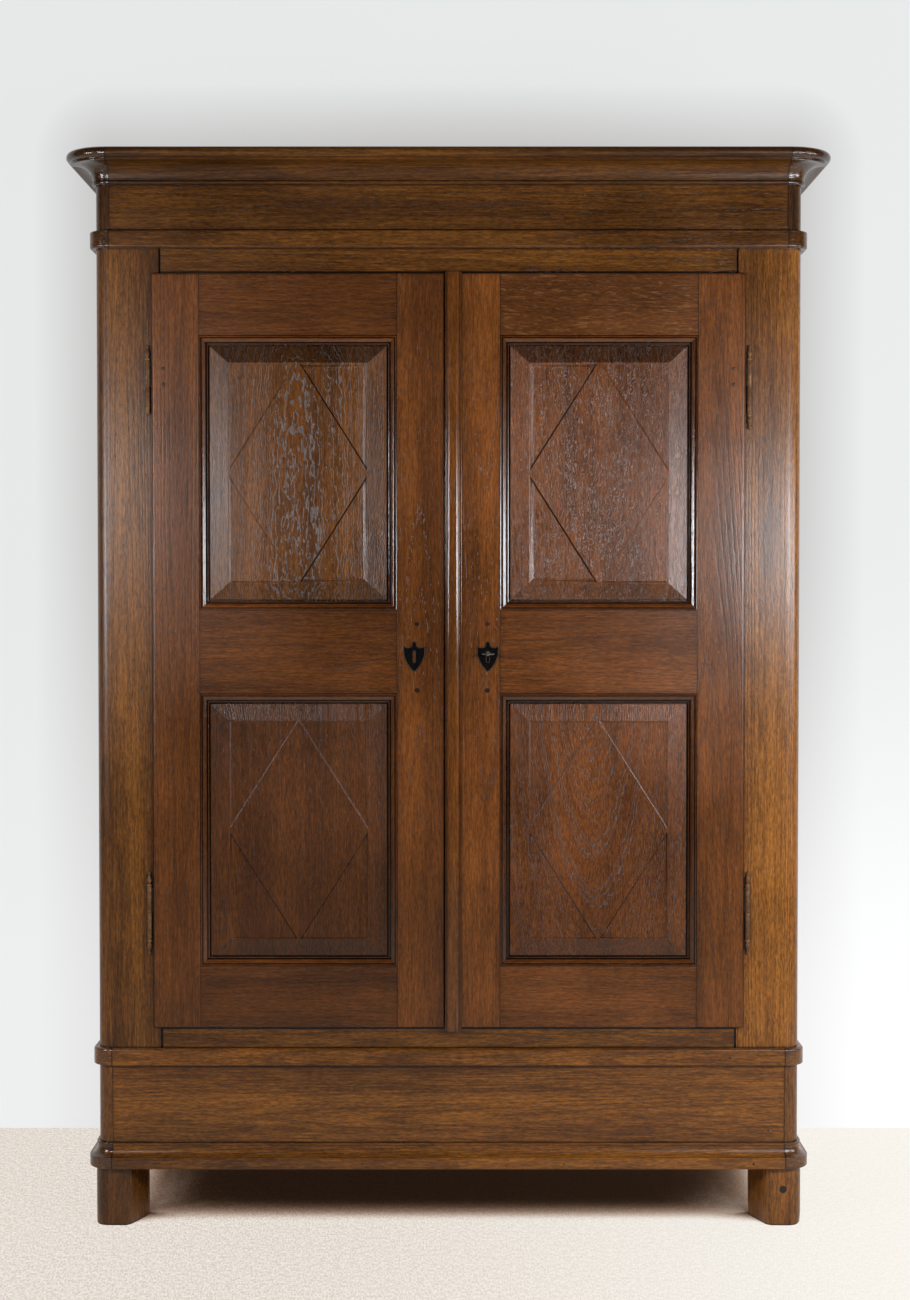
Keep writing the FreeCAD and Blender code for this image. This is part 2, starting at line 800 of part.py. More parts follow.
# The key passes through the meeting stile and the middle rail's tenon in it.
key_hole = rod("key_hole", s.right_shield_across, door_front - 1, key_z, 5, s.door_thickness + 2, (0, 1, 0))
key_slot = board("key_slot", (s.right_shield_across - 2.6, s.right_shield_across + 2.6),
                 (door_front - 1, door_back + 1), (key_z - 17, key_z))
plain_rails = group("rails", rails)
node(cut("right_rails", plain_rails, [key_hole, key_slot]))
node(mirror(plain_rails, "left_rails"))


def stile(label, xs, extra_cutters, lip_side=None):
    """A stile with rounded lip edges, its rebate, grooves and mortises."""
    bare = block(f"{label}_bare", xs, (door_front, door_back), (s.door_bottom, door_top))
    dress(bare, "Fillet", "Radius", s.lip_round,
          lambda box: near(box.YMax, door_front)
          and (near(box.ZMin, s.door_height) or near(box.ZMax, 0)))
    if lip_side is not None:
        dress(bare, "Fillet", "Radius", s.lip_round,
              lambda box: near(box.YMax, door_front) and near(box.XMin, lip_side)
              and near(box.XMax, lip_side))
    return cut(label, bare, cutters + tenons + extra_cutters)


door_leaves = [door_leaf(level) for level in hinge_levels()]
node(stile("right_hinge_stile", (panel_right, s.door_half_width), door_leaves, s.door_half_width))
node(mirror(nodes[-1], "left_hinge_stile"))

# The doors meet to the left of the middle, where the cover strip begins.
node(stile("right_meeting_stile", (-s.meeting_edge, s.panel_edge), [key_hole, key_slot]))
left_meeting = stile("left_meeting_stile_mirrored", (s.meeting_edge + s.meeting_gap, s.panel_edge), [])
node(mirror(left_meeting, "left_meeting_stile"))


def cover_strip():
    """A half-round bead between two fillets, over the meeting of the doors."""
    left = -s.meeting_edge
    right = left + s.strip_width
    bead_left = left + s.strip_fillet
    bead_right = right - s.strip_fillet
    base = door_front - s.strip_base
    body = new_body("cover_strip", 0, 0, s.strip_bottom)
    sketch = new_sketch(body, "XY")
    outline(sketch, [(left, door_front), (left, base), (bead_left, base),
                     (bead_left, base - 0.6, (s.strip_width / 2 - s.strip_fillet) * 1.02),
                     (bead_right, base - 0.6), (bead_right, base), (right, base),
                     (right, door_front)])
    return pad(body, sketch, s.strip_top - s.strip_bottom)


node(cover_strip())


# --- escutcheons, lock and key ----------------------------------------------------------------

def shield(label, centre_x, keyhole):
    """A small iron shield: pointed foot, curved sides, two horns and a knop between them."""
    body = new_body(label, centre_x, door_front, s.shield_centre)
    sketch = new_sketch(body, "XZ")
    outline(sketch, [(0, -30, 62), (20.4, 5), (21, 20.5), (17, 18.6, -9.5), (5, 20.5),
                     (3.4, 27), (1.6, 29.6), (-1.6, 29.6), (-3.4, 27), (-5, 20.5, -9.5),
                     (-17, 18.6), (-21, 20.5), (-20.4, 5, 62)])
    pad(body, sketch, s.shield_thickness)
    hole = new_sketch(body, "XZ", s.shield_thickness)
    outline(hole, keyhole)
    return pocket(body, hole, s.shield_thickness + 1)


narrow_slot = [(-2.2, -10), (0, -12.2), (2.2, -10), (2.2, 9.5), (0, 11.5), (-2.2, 9.5)]
open_slot = [(-3, -10), (0, -11.5), (3, -10), (3, s.key_rise - 3.8, 4.9),
             (0, s.key_rise + 4.9, 4.9), (-3, s.key_rise - 3.8)]
node(shield("left_escutcheon", -s.left_shield_across, narrow_slot))
node(shield("right_escutcheon", s.right_shield_across, open_slot))

lock_left = s.meeting_edge - 10.8
lock_right = s.right_shield_across + 24
lock_back = door_back + s.lock_depth
bolt_front = door_back + 3.5
bolt_low = key_z + 14.5


def lock_case():
    """The iron box lock on the back of the right door, hollow for the bit and the bolt."""
    case = board("lock_case_block", (lock_left, lock_right), (door_back, lock_back),
                 (key_z - 24, key_z + 34))
    chamber = board("bit_chamber", (s.right_shield_across - 14, s.right_shield_across + 14),
                    (door_back - 1, lock_back - 2), (key_z - 14, key_z + 14))
    bolt_way = board("bolt_way", (lock_left - 1, lock_right - 3),
                     (bolt_front - 0.3, bolt_front + s.lock_bolt_thickness + 0.3),
                     (bolt_low - 0.3, bolt_low + s.lock_bolt_height + 0.3))
    return cut("lock_case", case, [chamber, bolt_way])


node(lock_case())
node(board("lock_bolt", (lock_left, lock_left + 74), (bolt_front, bolt_front + s.lock_bolt_thickness),
           (bolt_low, bolt_low + s.lock_bolt_height)))
node(board("strike_plate", (-s.meeting_edge - s.meeting_gap - 27, -s.meeting_edge - s.meeting_gap - 1),
           (door_back, door_back + 1.5), (key_z - 12, key_z + 36)))


def key():
    """Shank, collar, a flat oval bow seen on edge and a flat bit."""
    shank = rod("key_shank", s.right_shield_across, door_front - 13.5, key_z, 2.8,
                s.door_thickness + s.lock_depth + 8, (0, 1, 0))
    collar = rod("key_collar", s.right_shield_across, door_front - 12, key_z, 4.2, 3, (0, 1, 0))
    bow = new_body("key_bow", s.right_shield_across, door_front - 23, key_z)
    ring = new_sketch(bow, "XY")
    outline(ring, [(-13, 0, 9), (0, -11, 9), (13, 0, 9), (0, 11, 9)])
    outline(ring, [(-8.5, 0, 5.5), (0, -6.5, 5.5), (8.5, 0, 5.5), (0, 6.5, 5.5)])
    pad(bow, ring, 3.6, both_ways=True)
    bit = board("key_bit", (s.right_shield_across, s.right_shield_across + 12.5),
                (door_back + 3, door_back + 14), (key_z - 1.4, key_z + 1.4))
    return fuse("key", [shank, collar, bow, bit])


node(key())


# --- sliding bolts on the back of the left door --------------------------------------------------

def slide_bolt(name, plate_low, bar_low, bar_high, knob_z):
    """A back plate with two staples, and a flat bar with a knob that slides in them."""
    centre = -(s.meeting_edge + s.meeting_gap + 42)
    half_bar = s.door_bolt_width / 2
    bar_front = door_back + 2.5
    bar_back = bar_front + s.door_bolt_thickness
    plate_high = plate_low + 150
    plate = board(f"{name}_plate", (centre - 20, centre + 20), (door_back, door_back + 2),
                  (plate_low, plate_high))
    pieces = [plate]
    for low in (plate_low + 8, plate_high - 18):
        staple = board("staple_block", (centre - half_bar - 4, centre + half_bar + 4),
                       (door_back + 2, bar_back + 3), (low, low + 10))
        way = board("staple_way", (centre - half_bar - 0.4, centre + half_bar + 0.4),
                    (door_back + 1.9, bar_back + 0.4), (low - 1, low + 11))
        pieces.append(cut("staple", staple, [way]))
    guide = fuse(f"{name}_guide", pieces)
    bar = board(f"{name}_bar", (centre - half_bar, centre + half_bar), (bar_front, bar_back),
                (bar_low, bar_high))
    knob = rod(f"{name}_knob", centre, bar_back - 1, knob_z, 6, 13, (0, 1, 0))
    node(fuse(name, [bar, knob]))
    return guide


guides = [slide_bolt("upper_bolt", 1700, 1690, upper_rail_bottom - 2.5, 1760),
          slide_bolt("lower_bolt", 420, lower_rail_top + 2.5, 590, 500)]
node(group("bolt_guides", guides))


# --- checks and files -------------------------------------------------------------------------

doc.recompute()
failed = [item.Label for item in doc.Objects if {"Invalid", "Error"} & set(item.State)]
bad_shapes = [item.Label for item in nodes if item.Shape.isNull() or not item.Shape.isValid()]
if failed or bad_shapes:
    raise RuntimeError(f"failed: {failed}; bad shapes: {bad_shapes}")
os.makedirs("parts", exist_ok=True)
for item in nodes:
    item.Shape.exportStep(f"parts/{item.Label}.step")
print(f"{len(nodes)} nodes written")
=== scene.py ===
import bmesh
import bpy
import math
import random
from mathutils import Matrix, Vector, noise


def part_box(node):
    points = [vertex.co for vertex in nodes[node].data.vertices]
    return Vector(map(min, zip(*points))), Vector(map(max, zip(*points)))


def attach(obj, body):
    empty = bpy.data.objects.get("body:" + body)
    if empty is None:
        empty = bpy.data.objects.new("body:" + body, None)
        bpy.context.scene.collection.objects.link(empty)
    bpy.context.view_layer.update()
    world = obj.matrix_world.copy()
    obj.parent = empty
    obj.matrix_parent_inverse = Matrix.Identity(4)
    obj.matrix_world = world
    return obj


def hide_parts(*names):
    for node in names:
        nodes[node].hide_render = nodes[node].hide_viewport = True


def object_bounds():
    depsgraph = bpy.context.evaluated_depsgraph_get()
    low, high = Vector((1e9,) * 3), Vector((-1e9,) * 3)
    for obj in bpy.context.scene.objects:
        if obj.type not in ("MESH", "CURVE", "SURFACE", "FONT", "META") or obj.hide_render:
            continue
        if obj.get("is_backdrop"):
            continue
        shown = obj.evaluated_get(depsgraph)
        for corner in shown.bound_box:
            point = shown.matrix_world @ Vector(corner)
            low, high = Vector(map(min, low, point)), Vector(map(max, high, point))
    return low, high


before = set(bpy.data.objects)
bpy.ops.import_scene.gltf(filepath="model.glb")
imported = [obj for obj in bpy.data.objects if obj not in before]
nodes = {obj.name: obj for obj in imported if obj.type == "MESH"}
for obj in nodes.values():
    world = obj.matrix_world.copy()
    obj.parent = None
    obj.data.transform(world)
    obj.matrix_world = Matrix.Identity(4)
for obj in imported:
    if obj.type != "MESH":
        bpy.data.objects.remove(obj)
cad_low, cad_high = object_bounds()
scene = bpy.context.scene
SIDES = (("left", -1), ("right", 1))


# --- Room -----------------------------------------------------------------------------------
# A pale painted wall close behind, a cut-pile carpet in a warm white, and soft lamps to each
# side of the viewer a little above the locks. Nothing here is part of the cupboard.

class Shading:
    """Adds the nodes of one tree, with each node's inputs given as values or as sockets."""

    def __init__(self, tree):
        self.tree = tree

    def add(self, kind, inputs=(), **settings):
        node = self.tree.nodes.new(kind)
        for name, value in settings.items():
            setattr(node, name, value)
        for socket, value in dict(inputs).items():
            if isinstance(value, bpy.types.NodeSocket):
                self.tree.links.new(value, node.inputs[socket])
            else:
                node.inputs[socket].default_value = value
        return node

    def sum(self, operation, *values):
        return self.add("ShaderNodeMath", dict(enumerate(values)), operation=operation).outputs[0]

    def plus(self, first, second):
        return self.sum("ADD", first, second)

    def minus(self, first, second):
        return self.sum("SUBTRACT", first, second)

    def times(self, first, second):
        return self.sum("MULTIPLY", first, second)

    def move(self, operation, first, second=(0, 0, 0)):
        inputs = {0: first, 3 if operation == "SCALE" else 1: second}
        node = self.add("ShaderNodeVectorMath", inputs, operation=operation)
        return node.outputs[1 if operation == "LENGTH" else 0]

    def split(self, vector):
        return self.add("ShaderNodeSeparateXYZ", {0: vector}).outputs

    def blend(self, share, first, second, how="MIX"):
        first, second = ((*tone, 1.0) if isinstance(tone, (tuple, list)) else tone
                         for tone in (first, second))
        return self.add("ShaderNodeMix", {0: share, 6: first, 7: second}, data_type="RGBA",
                        blend_type=how).outputs[2]

    def stain(self, share, tone, tint):
        return self.blend(share, tone, self.blend(1.0, tone, tint, "MULTIPLY"))

    def noise(self, vector, scale=1.0, detail=2.0, rough=0.5, warp=0.0, output=0):
        return self.add("ShaderNodeTexNoise", {
            "Vector": vector, "Scale": scale, "Detail": detail, "Roughness": rough,
            "Distortion": warp}).outputs[output]

    def ramp(self, value, low, high, out_low=0.0, out_high=1.0, smooth=True):
        kind = "SMOOTHSTEP" if smooth else "LINEAR"
        return self.add("ShaderNodeMapRange", {0: value, 1: low, 2: high, 3: out_low, 4: out_high},
                        interpolation_type=kind).outputs[0]

    def place(self):
        return self.add("ShaderNodeTexCoord").outputs["Object"]

    def marked(self, name, output="Vector"):
        return self.add("ShaderNodeAttribute", attribute_name=name).outputs[output]

    def open_air(self, reach, samples):
        return self.add("ShaderNodeAmbientOcclusion", {"Distance": reach},
                        samples=samples).outputs["AO"]

    def bump(self, height, strength, distance):
        return self.add("ShaderNodeBump", {"Height": height, "Strength": strength,
                                           "Distance": distance}).outputs[0]

    def surface(self, tone, gloss, bump, shine_level, **more):
        shader = self.add("ShaderNodeBsdfPrincipled", {
            "Base Color": tone, "Roughness": gloss, "Normal": bump,
            "Specular IOR Level": shine_level, **more})
        self.add("ShaderNodeOutputMaterial", {"Surface": shader.outputs[0]})


def new_material(name):
    material = bpy.data.materials.new(name)
    material.use_nodes = True
    material.node_tree.nodes.clear()
    return material, Shading(material.node_tree)


def put(name, data):
    thing = bpy.data.objects.new(name, data)
    scene.collection.objects.link(thing)
    return thing


def flat_board(name, low, high, material):
    mesh = bpy.data.meshes.new(name)
    corners = [low, (high[0], *low[1:]), high, (low[0], *high[1:])]
    mesh.from_pydata(corners, [], [range(4)])
    mesh.materials.append(material)
    put(name, mesh)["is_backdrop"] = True


def backdrop(make, tone, bump, painted_shadow_level):
    """A matt surface that is seen partly unlit, so that it stays pale round dark wood. The unlit
    part carries a painted shadow where the cupboard closes it off, and the surface has no
    back of its own."""
    plain, in_polish = 0.9, 0.55
    unlit = make.add("ShaderNodeEmission", {"Color": tone, "Strength": painted_shadow_level}).outputs[0]
    lit = make.add("ShaderNodeBsdfDiffuse", {"Color": tone, "Normal": bump}).outputs[0]
    path = make.add("ShaderNodeLightPath").outputs
    mirrored = make.times(path["Is Glossy Ray"], in_polish)
    seen = make.sum("MAXIMUM", path["Is Camera Ray"],
                       make.sum("MAXIMUM", mirrored, path["Is Transmission Ray"]))
    front = make.add("ShaderNodeMixShader", {0: make.times(seen, plain), 1: lit,
                                                2: unlit}).outputs[0]
    behind = make.add("ShaderNodeNewGeometry").outputs["Backfacing"]
    clear = make.add("ShaderNodeBsdfTransparent").outputs[0]
    both = make.add("ShaderNodeMixShader", {0: behind, 1: front, 2: clear}).outputs[0]
    make.add("ShaderNodeOutputMaterial", {"Surface": both})


carpet_material, make = new_material("carpet")
place = make.place()
pile = make.noise(make.move("MULTIPLY", place, (1, 0.3, 1)), 300, 3, 0.65)
tufts = make.noise(place, 70, 3, 0.6)
pile_height = make.plus(pile, make.times(tufts, 0.35))
speckle = make.ramp(pile_height, 0.52, 0.83)
tone = make.blend(speckle, (0.68, 0.605, 0.54), (0.945, 0.875, 0.80))
# Painted light: the carpet grows paler towards the right, where the lamp light falls strongest.
brighter = make.ramp(make.split(place)[0], -0.5, 1.1, 0.0, 0.8)
tone = make.blend(brighter, tone, (1.0, 0.97, 0.90))
# Painted shadow: the unlit part of the carpet darkens where the cupboard closes it off.
painted_shadow_level = make.ramp(make.open_air(1.2, 32), 0.10, 0.29, 0.02, 1.0)
# The painted shadow is tinted warm brown, as light thrown back from the wood.
tone = make.blend(painted_shadow_level, make.blend(1.0, tone, (1.0, 0.58, 0.36), "MULTIPLY"), tone)
backdrop(make, tone, make.bump(pile_height, 0.5, 0.004), painted_shadow_level)

wall_material, make = new_material("wall_paint")
place = make.place()
across, _, high = make.split(place)
roller = make.noise(place, 240)
# Painted light: the wall grows paler towards the floor and towards the right, where the lamp light
# falls strongest.
brighter = make.times(make.ramp(high, 1.4, 0.1), make.ramp(across, -1.2, 0.9, 0.35, 1.0))
tone = make.blend(brighter, (0.825, 0.845, 0.835), (1.02, 1.02, 1.02))
# Painted shadow: a soft dark band on the wall round the cupboard's sides and top, stronger higher
# up; it darkens the unlit part and warms the colour.
beside = make.sum("MAXIMUM", make.minus(make.sum("ABSOLUTE", across), 0.78), 0)
above = make.sum("MAXIMUM", make.minus(high, 2.24), 0)
away = make.sum("SQRT", make.plus(make.sum("POWER", beside, 2),
                                        make.sum("POWER", above, 2)))
painted_wall_shadow = make.times(make.ramp(away, 0.0, 0.18, 0.32, 0.0, smooth=False),
                     make.ramp(high, 0.2, 1.6, 0.35, 1.0))
tone = make.stain(make.times(painted_wall_shadow, 3), tone, (1.0, 0.95, 0.955))
backdrop(make, tone, make.bump(roller, 0.1, 0.001), make.minus(1, painted_wall_shadow))

side, front, wall_y, wall_top = 4, -6, 0.534, 3.6
flat_board("carpet", (-side, front, 0), (side, -front, 0), carpet_material)
flat_board("wall", (-side, wall_y, 0), (side, wall_y, wall_top), wall_material)

camera = put("camera", bpy.data.cameras.new("camera"))
camera.data.sensor_width = 36
camera.data.lens = 59.3
camera.location = (0.0127, -4.432, 1.2502)
tilted_down = 1.55
camera.rotation_euler = (math.radians(90 - tilted_down), 0, 0)
scene.camera = camera
scene.view_settings.view_transform = "Standard"

for name, place, aim, width, height, power in (
        ("lamp_left", (-1.26, -2.0, 1.52), (-1.26, 0, 1.42), 0.42, 0.34, 14.5),
        ("lamp_right", (1.55, -2.0, 1.39), (1.2, 0, 1.29), 1.25, 0.40, 46),
        ("side_left", (-2.42, -1.70, 1.40), (-0.7, -0.3, 1.3), 0.55, 0.46, 33),
        ("side_right", (2.7, -1.3, 1.33), (0.7, -0.3, 1.3), 1.2, 0.42, 32)):
    light = bpy.data.lights.new(name, "AREA")
    light.shape = "RECTANGLE"
    light.size, light.size_y, light.energy = width, height, power
    light.color = (0.88, 0.94, 1.0)
    lamp = put(name, light)
    lamp.location = place
    lamp.rotation_euler = (Vector(aim) - Vector(place)).to_track_quat("-Z", "Y").to_euler()

world = bpy.data.worlds.new("room_light")
world.use_nodes = True
make = Shading(world.node_tree)
seen = make.add("ShaderNodeLightPath").outputs["Is Camera Ray"]
background = world.node_tree.nodes["Background"]
background.inputs[0].default_value = (0.93, 0.96, 1.0, 1)
world.node_tree.links.new(make.sum("MULTIPLY_ADD", seen, 0.8, 0.07), background.inputs[1])
scene.world = world


# --- Feet -----------------------------------------------------------------------------------
# Four oak blocks carry the plinth. The front ones have a rounded outer corner and a canted inner
# face, and their lower edges are bruised and chipped from being pushed over floors.

def node_group(name, kind, inputs, outputs):
    """A new node group. A socket is given by its kind, or by the number that it starts from."""
    tree = bpy.data.node_groups.new(name, kind)
    for in_out, sockets in (("INPUT", inputs), ("OUTPUT", outputs)):
        for socket, value in sockets.items():
            named = isinstance(value, str)
            made = tree.interface.new_socket(
                socket, in_out=in_out, socket_type=f"NodeSocket{value if named else 'Float'}")
            if not named:
                made.default_value = value
    make = Shading(tree)
    return tree, make, make.add("NodeGroupInput").outputs


def grain_group():
    """Oak in the board's own directions: growth rings, open pores, ray flecks and colour drift."""
    tree, make, given = node_group("oak_grain", "ShaderNodeTree", {
        "Grain": "Vector", "Ring Width": 0.004, "Wander": 0.014, "Curl": 0.003, "Pore Cover": 0.5,
        "Ring Hold": 0.13, "Fleck Slant": 0.6},
        dict.fromkeys(("Rings", "Pores", "Flecks", "Drift", "Grit", "Relief"), "Float"))
    grain = given["Grain"]

    def stretched(vector, size, detail, rough, output=0):
        return make.noise(make.move("MULTIPLY", vector, size), 1, detail, rough, output=output)

    def shift(vector, size, amount):
        moved = make.move("SUBTRACT", stretched(vector, size, 2, 0.5, output=1), (0.5, 0.5, 0.5))
        return make.move("SCALE", moved, amount)

    bent = make.move("ADD", grain, shift(grain, (1.3, 7, 7), given["Wander"]))
    curled = make.move("ADD", bent, shift(bent, (38, 110, 110), given["Curl"]))
    ring_place = make.move("LENGTH", make.move("MULTIPLY", curled, (0, 1, 1)))
    phase = make.sum("DIVIDE", ring_place, given["Ring Width"])
    wave = make.sum("COSINE", make.times(phase, 2 * math.pi))
    year = make.add("ShaderNodeTexNoise", {"W": make.times(phase, 0.37), "Scale": 1.0,
                                           "Detail": 1.0}, noise_dimensions="1D").outputs[0]
    rings = make.times(make.ramp(wave, 0.15, 0.95), make.ramp(year, 0.3, 0.7, 0.4, 1.0))

    fine = stretched(bent, (75, 430, 430), 2, 0.55)
    limit = make.ramp(given["Pore Cover"], 0, 1, 0.74, 0.50, smooth=False)
    held = make.times(make.minus(rings, 0.5), given["Ring Hold"])
    pores = make.ramp(make.minus(make.plus(fine, held), limit), 0.0, 0.12)
    grit = stretched(bent, (70, 380, 380), 3, 0.7)

    along, across, deep = make.split(bent)
    slanted = make.plus(along, make.times(across, given["Fleck Slant"]))
    fleck_place = make.add("ShaderNodeCombineXYZ", {
        0: make.times(slanted, 42), 1: make.times(across, 170), 2: make.times(deep, 60)})
    flecks = make.ramp(make.noise(fleck_place.outputs[0], 1, 2, 0.5, 0.6), 0.55, 0.68)
    broad = stretched(grain, (1.1, 16, 16), 4, 0.6)
    streaks = stretched(bent, (14, 260, 260), 2, 0.6)
    drift = make.plus(make.times(broad, 0.62), make.times(streaks, 0.38))
    relief = make.minus(make.plus(make.times(flecks, 0.2), make.times(grit, 0.8)),
                        make.plus(pores, make.times(rings, 0.35)))
    make.add("NodeGroupOutput", {"Rings": rings, "Pores": pores, "Flecks": flecks,
                                 "Drift": drift, "Grit": grit, "Relief": relief})
    return tree


def age_group():
    """What years of use leave on a board: dark wax at its ends and edges, clouds, dents."""
    tree, make, given = node_group("age", "ShaderNodeTree", {"Edge Reach": 0.012}, dict.fromkeys(
        ("Edges", "Joint", "Clouds", "Dents"), "Float"))
    place = make.place()
    inward = make.move("SUBTRACT", (1, 1, 1), make.move("ABSOLUTE", make.marked("span")))
    cut_end, side, _ = make.split(make.move("MULTIPLY", inward, make.marked("half_size")))
    ragged = make.noise(place, 34, 3, 0.6)
    reach = make.times(given["Edge Reach"], make.ramp(ragged, 0.25, 0.75, 0.3, 1.7))
    nearest = make.sum("DIVIDE", make.sum("MINIMUM", cut_end, side), reach)
    edges = make.minus(1, make.ramp(nearest, 0, 1))
    joint = make.minus(1, make.ramp(cut_end, 0.0006, 0.0022))
    clouds = make.noise(place, 2.3, 3, 0.55)
    dents = make.ramp(make.noise(place, 95, 3, 0.62), 0.62, 0.74)
    make.add("NodeGroupOutput", {"Edges": edges, "Joint": joint, "Clouds": clouds, "Dents": dents})
    return tree


oak_grain = grain_group()
age = age_group()


def oak(name, dark, light, pore, ring_depth=0.4, pore_depth=0.5, fleck_depth=0.0, drift_depth=0.8,
        cover=0.5, hold=0.16, ring_width=0.004, wander=0.014, curl=0.002, slant=0.6, rough=0.27,
        reach=0.012, edge_depth=0.25, relief=0.35, fleck=None, wax=0.34, contrast=0.34,
        crevice_shade_reach=0.011):
    """Waxed oak between a dark and a light colour, with its own figure and wear, and crevices
    darkened partly as painted shade.
    """
    material, make = new_material(name)
    figure = make.add("ShaderNodeGroup", {
        "Grain": make.marked("grain"), "Ring Width": ring_width, "Wander": wander,
        "Curl": curl, "Pore Cover": cover, "Ring Hold": hold, "Fleck Slant": slant},
        node_tree=oak_grain).outputs
    wear = make.add("ShaderNodeGroup", {"Edge Reach": reach}, node_tree=age).outputs
    pores = figure["Pores"]
    drift = make.ramp(figure["Drift"], 0.32, 0.68, 0.5 - drift_depth / 2, 0.5 + drift_depth / 2)
    tone = make.blend(drift, dark, light)
    tone = make.blend(make.times(figure["Rings"], ring_depth), tone, dark)
    if fleck_depth:
        tone = make.blend(make.times(figure["Flecks"], fleck_depth), tone, fleck)
    tone = make.blend(make.times(pores, pore_depth), tone, pore)
    # The board's tint carries its piece's multiplier, which on many pieces is partly painted
    # light.
    clouds = make.times(make.marked("tint", "Fac"),
                           make.ramp(wear["Clouds"], 0.3, 0.7, 0.76, 1.24))
    clouds = make.times(clouds, make.ramp(figure["Grit"], 0.3, 0.7, 1 - contrast,
                                                1 + contrast))
    cloud_tone = make.add("ShaderNodeCombineColor", dict.fromkeys(range(3), clouds)).outputs[0]
    tone = make.blend(1.0, tone, cloud_tone, "MULTIPLY")
    tone = make.stain(make.times(wear["Edges"], edge_depth), tone, (0.42, 0.36, 0.32))
    # Crevices and recesses, found by how much open air is near, go dark: partly dark wax gathered
    # there, partly painted shade.
    crevice_wax_and_shade = make.ramp(make.open_air(crevice_shade_reach, 8), 0.40, 0.88, 1.0, 0.0, smooth=False)
    tone = make.stain(crevice_wax_and_shade, tone, (0.07, 0.055, 0.045))
    tone = make.blend(make.times(wear["Joint"], 0.75), tone, (0.012, 0.007, 0.004))
    gloss = make.plus(make.times(pores, 0.22),
                         make.ramp(wear["Clouds"], 0.3, 0.7, rough - 0.04, rough + 0.05))
    height = make.minus(figure["Relief"], make.times(wear["Dents"], 0.35))
    make.surface(tone, gloss, make.bump(height, relief, 0.0004), wax)
    return material


golden = dict(dark=(0.053, 0.016, 0.0024), light=(0.200, 0.069, 0.0095),
              pore=(0.022, 0.007, 0.002), ring_depth=0.5, pore_depth=0.7, drift_depth=1.0,
              ring_width=0.0045, contrast=0.42, relief=0.5, crevice_shade_reach=0.006)
golden_oak = oak("golden_oak", **golden)
polished_oak = oak("polished_oak", rough=0.19, wax=0.5, **golden)
matt_oak = oak("matt_oak", rough=0.36, wax=0.2, **golden)


def limits(corners):
    """The low and the high end of some corners, along each axis."""
    return [Vector([pick(corner.co[i] for corner in corners) for i in range(3)])
            for pick in (min, max)]


def welded(name):
    """The solids of a CAD node as one shape, with shared corners and whole flat faces."""
    shape = bmesh.new()
    shape.from_mesh(nodes[name].data)
    bmesh.ops.remove_doubles(shape, verts=shape.verts, dist=2e-6)
    bmesh.ops.dissolve_limit(shape, angle_limit=math.radians(0.5), verts=shape.verts,
                             edges=shape.edges)
    return shape


def rounded(shape, width, steps, sharper_than):
    """Rounds the outer edges that are sharper than an angle, and gives what that has made."""
    edges = [edge for edge in shape.edges if len(edge.link_faces) == 2 and edge.is_convex
             and edge.calc_face_angle(0) > math.radians(sharper_than)]
    return bmesh.ops.bevel(shape, geom=edges, offset=width, offset_type="OFFSET", segments=steps,
                           profile=0.5, affect="EDGES", clamp_overlap=True)


def eased(shape, width=0.0009, steps=2, sharper_than=32):
    """Rounds the outer edges a little, as scraping and handling do."""
    rounded(shape, width, steps, sharper_than)
    return shape


def cut_across(shape, axis, *places):
    """Adds corners across a shape, so that it can be worn or coloured there."""
    for place in places:
        point, normal = Vector((0, 0, 0)), Vector((0, 0, 0))
        point[axis], normal[axis] = place, 1
        bmesh.ops.bisect_plane(shape, geom=shape.verts[:] + shape.edges[:] + shape.faces[:],
                               plane_co=point, plane_no=normal, dist=1e-6)
    return shape


def islands(shape):
    """The separate boards of a shape, each as its list of corners."""
    left, found = dict.fromkeys(shape.verts), []
    while left:
        board = [next(iter(left))]
        del left[board[0]]
        for corner in board:
            for edge in corner.link_edges:
                other = edge.other_vert(corner)
                if other in left:
                    del left[other]
                    board.append(other)
        found.append(board)
    return found


def lay_grain(shape, chance, along, pith, lean, off, tint, tenon, shade):
    """Gives each board its own run of grain, its place in the tree and its colour: the piece's
    given multiplier varied at random, which on many pieces is partly painted light.
    """
    layers = shape.verts.layers.float_vector
    grain, span, half_size = layers.new("grain"), layers.new("span"), layers.new("half_size")
    tints = shape.verts.layers.float.new("tint")
    for board in islands(shape):
        low, high = limits(board)
        middle, half = (low + high) / 2, (high - low) / 2
        first = "XYZ".index(along) if along else max(range(3), key=lambda i: half[i])
        second, third = sorted((i for i in range(3) if i != first), key=lambda i: -half[i])
        half[first] -= tenon
        depth = chance.uniform(*pith)
        sideways = chance.uniform(*off) * half[second] * 2
        slope = chance.choice((-1, 1)) * chance.uniform(*lean)
        shift = chance.uniform(1, 60)
        board_shade = shade * chance.uniform(1 - tint, 1 + tint)
        for corner in board:
            offset = corner.co - middle
            a, b, c = offset[first], offset[second], offset[third]
            corner[grain] = (a + shift, b + sideways, c + depth + slope * a)
            corner[span] = [value / max(size, 1e-6) for value, size in
                            ((a, half[first]), (b, half[second]), (c, half[third]))]
            corner[half_size] = (half[first], half[second], half[third])
            corner[tints] = board_shade


def finished(name, shape, body, material, replaced, smooth):
    """Makes a shape into a piece that rides on a body and stands for its CAD nodes. Its faces run
    smoothly into each other below an angle, or stay flat where none is given."""
    mesh = bpy.data.meshes.new(name)
    shape.to_mesh(mesh)
    shape.free()
    mesh.materials.clear()
    mesh.materials.append(material)
    for polygon in mesh.polygons:
        polygon.use_smooth = smooth is not None
        polygon.material_index = 0
    piece = put(name, mesh)
    if smooth is not None:
        mesh.set_sharp_from_angle(angle=math.radians(smooth))
    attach(piece, body)
    if replaced:
        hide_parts(*replaced)
    return piece


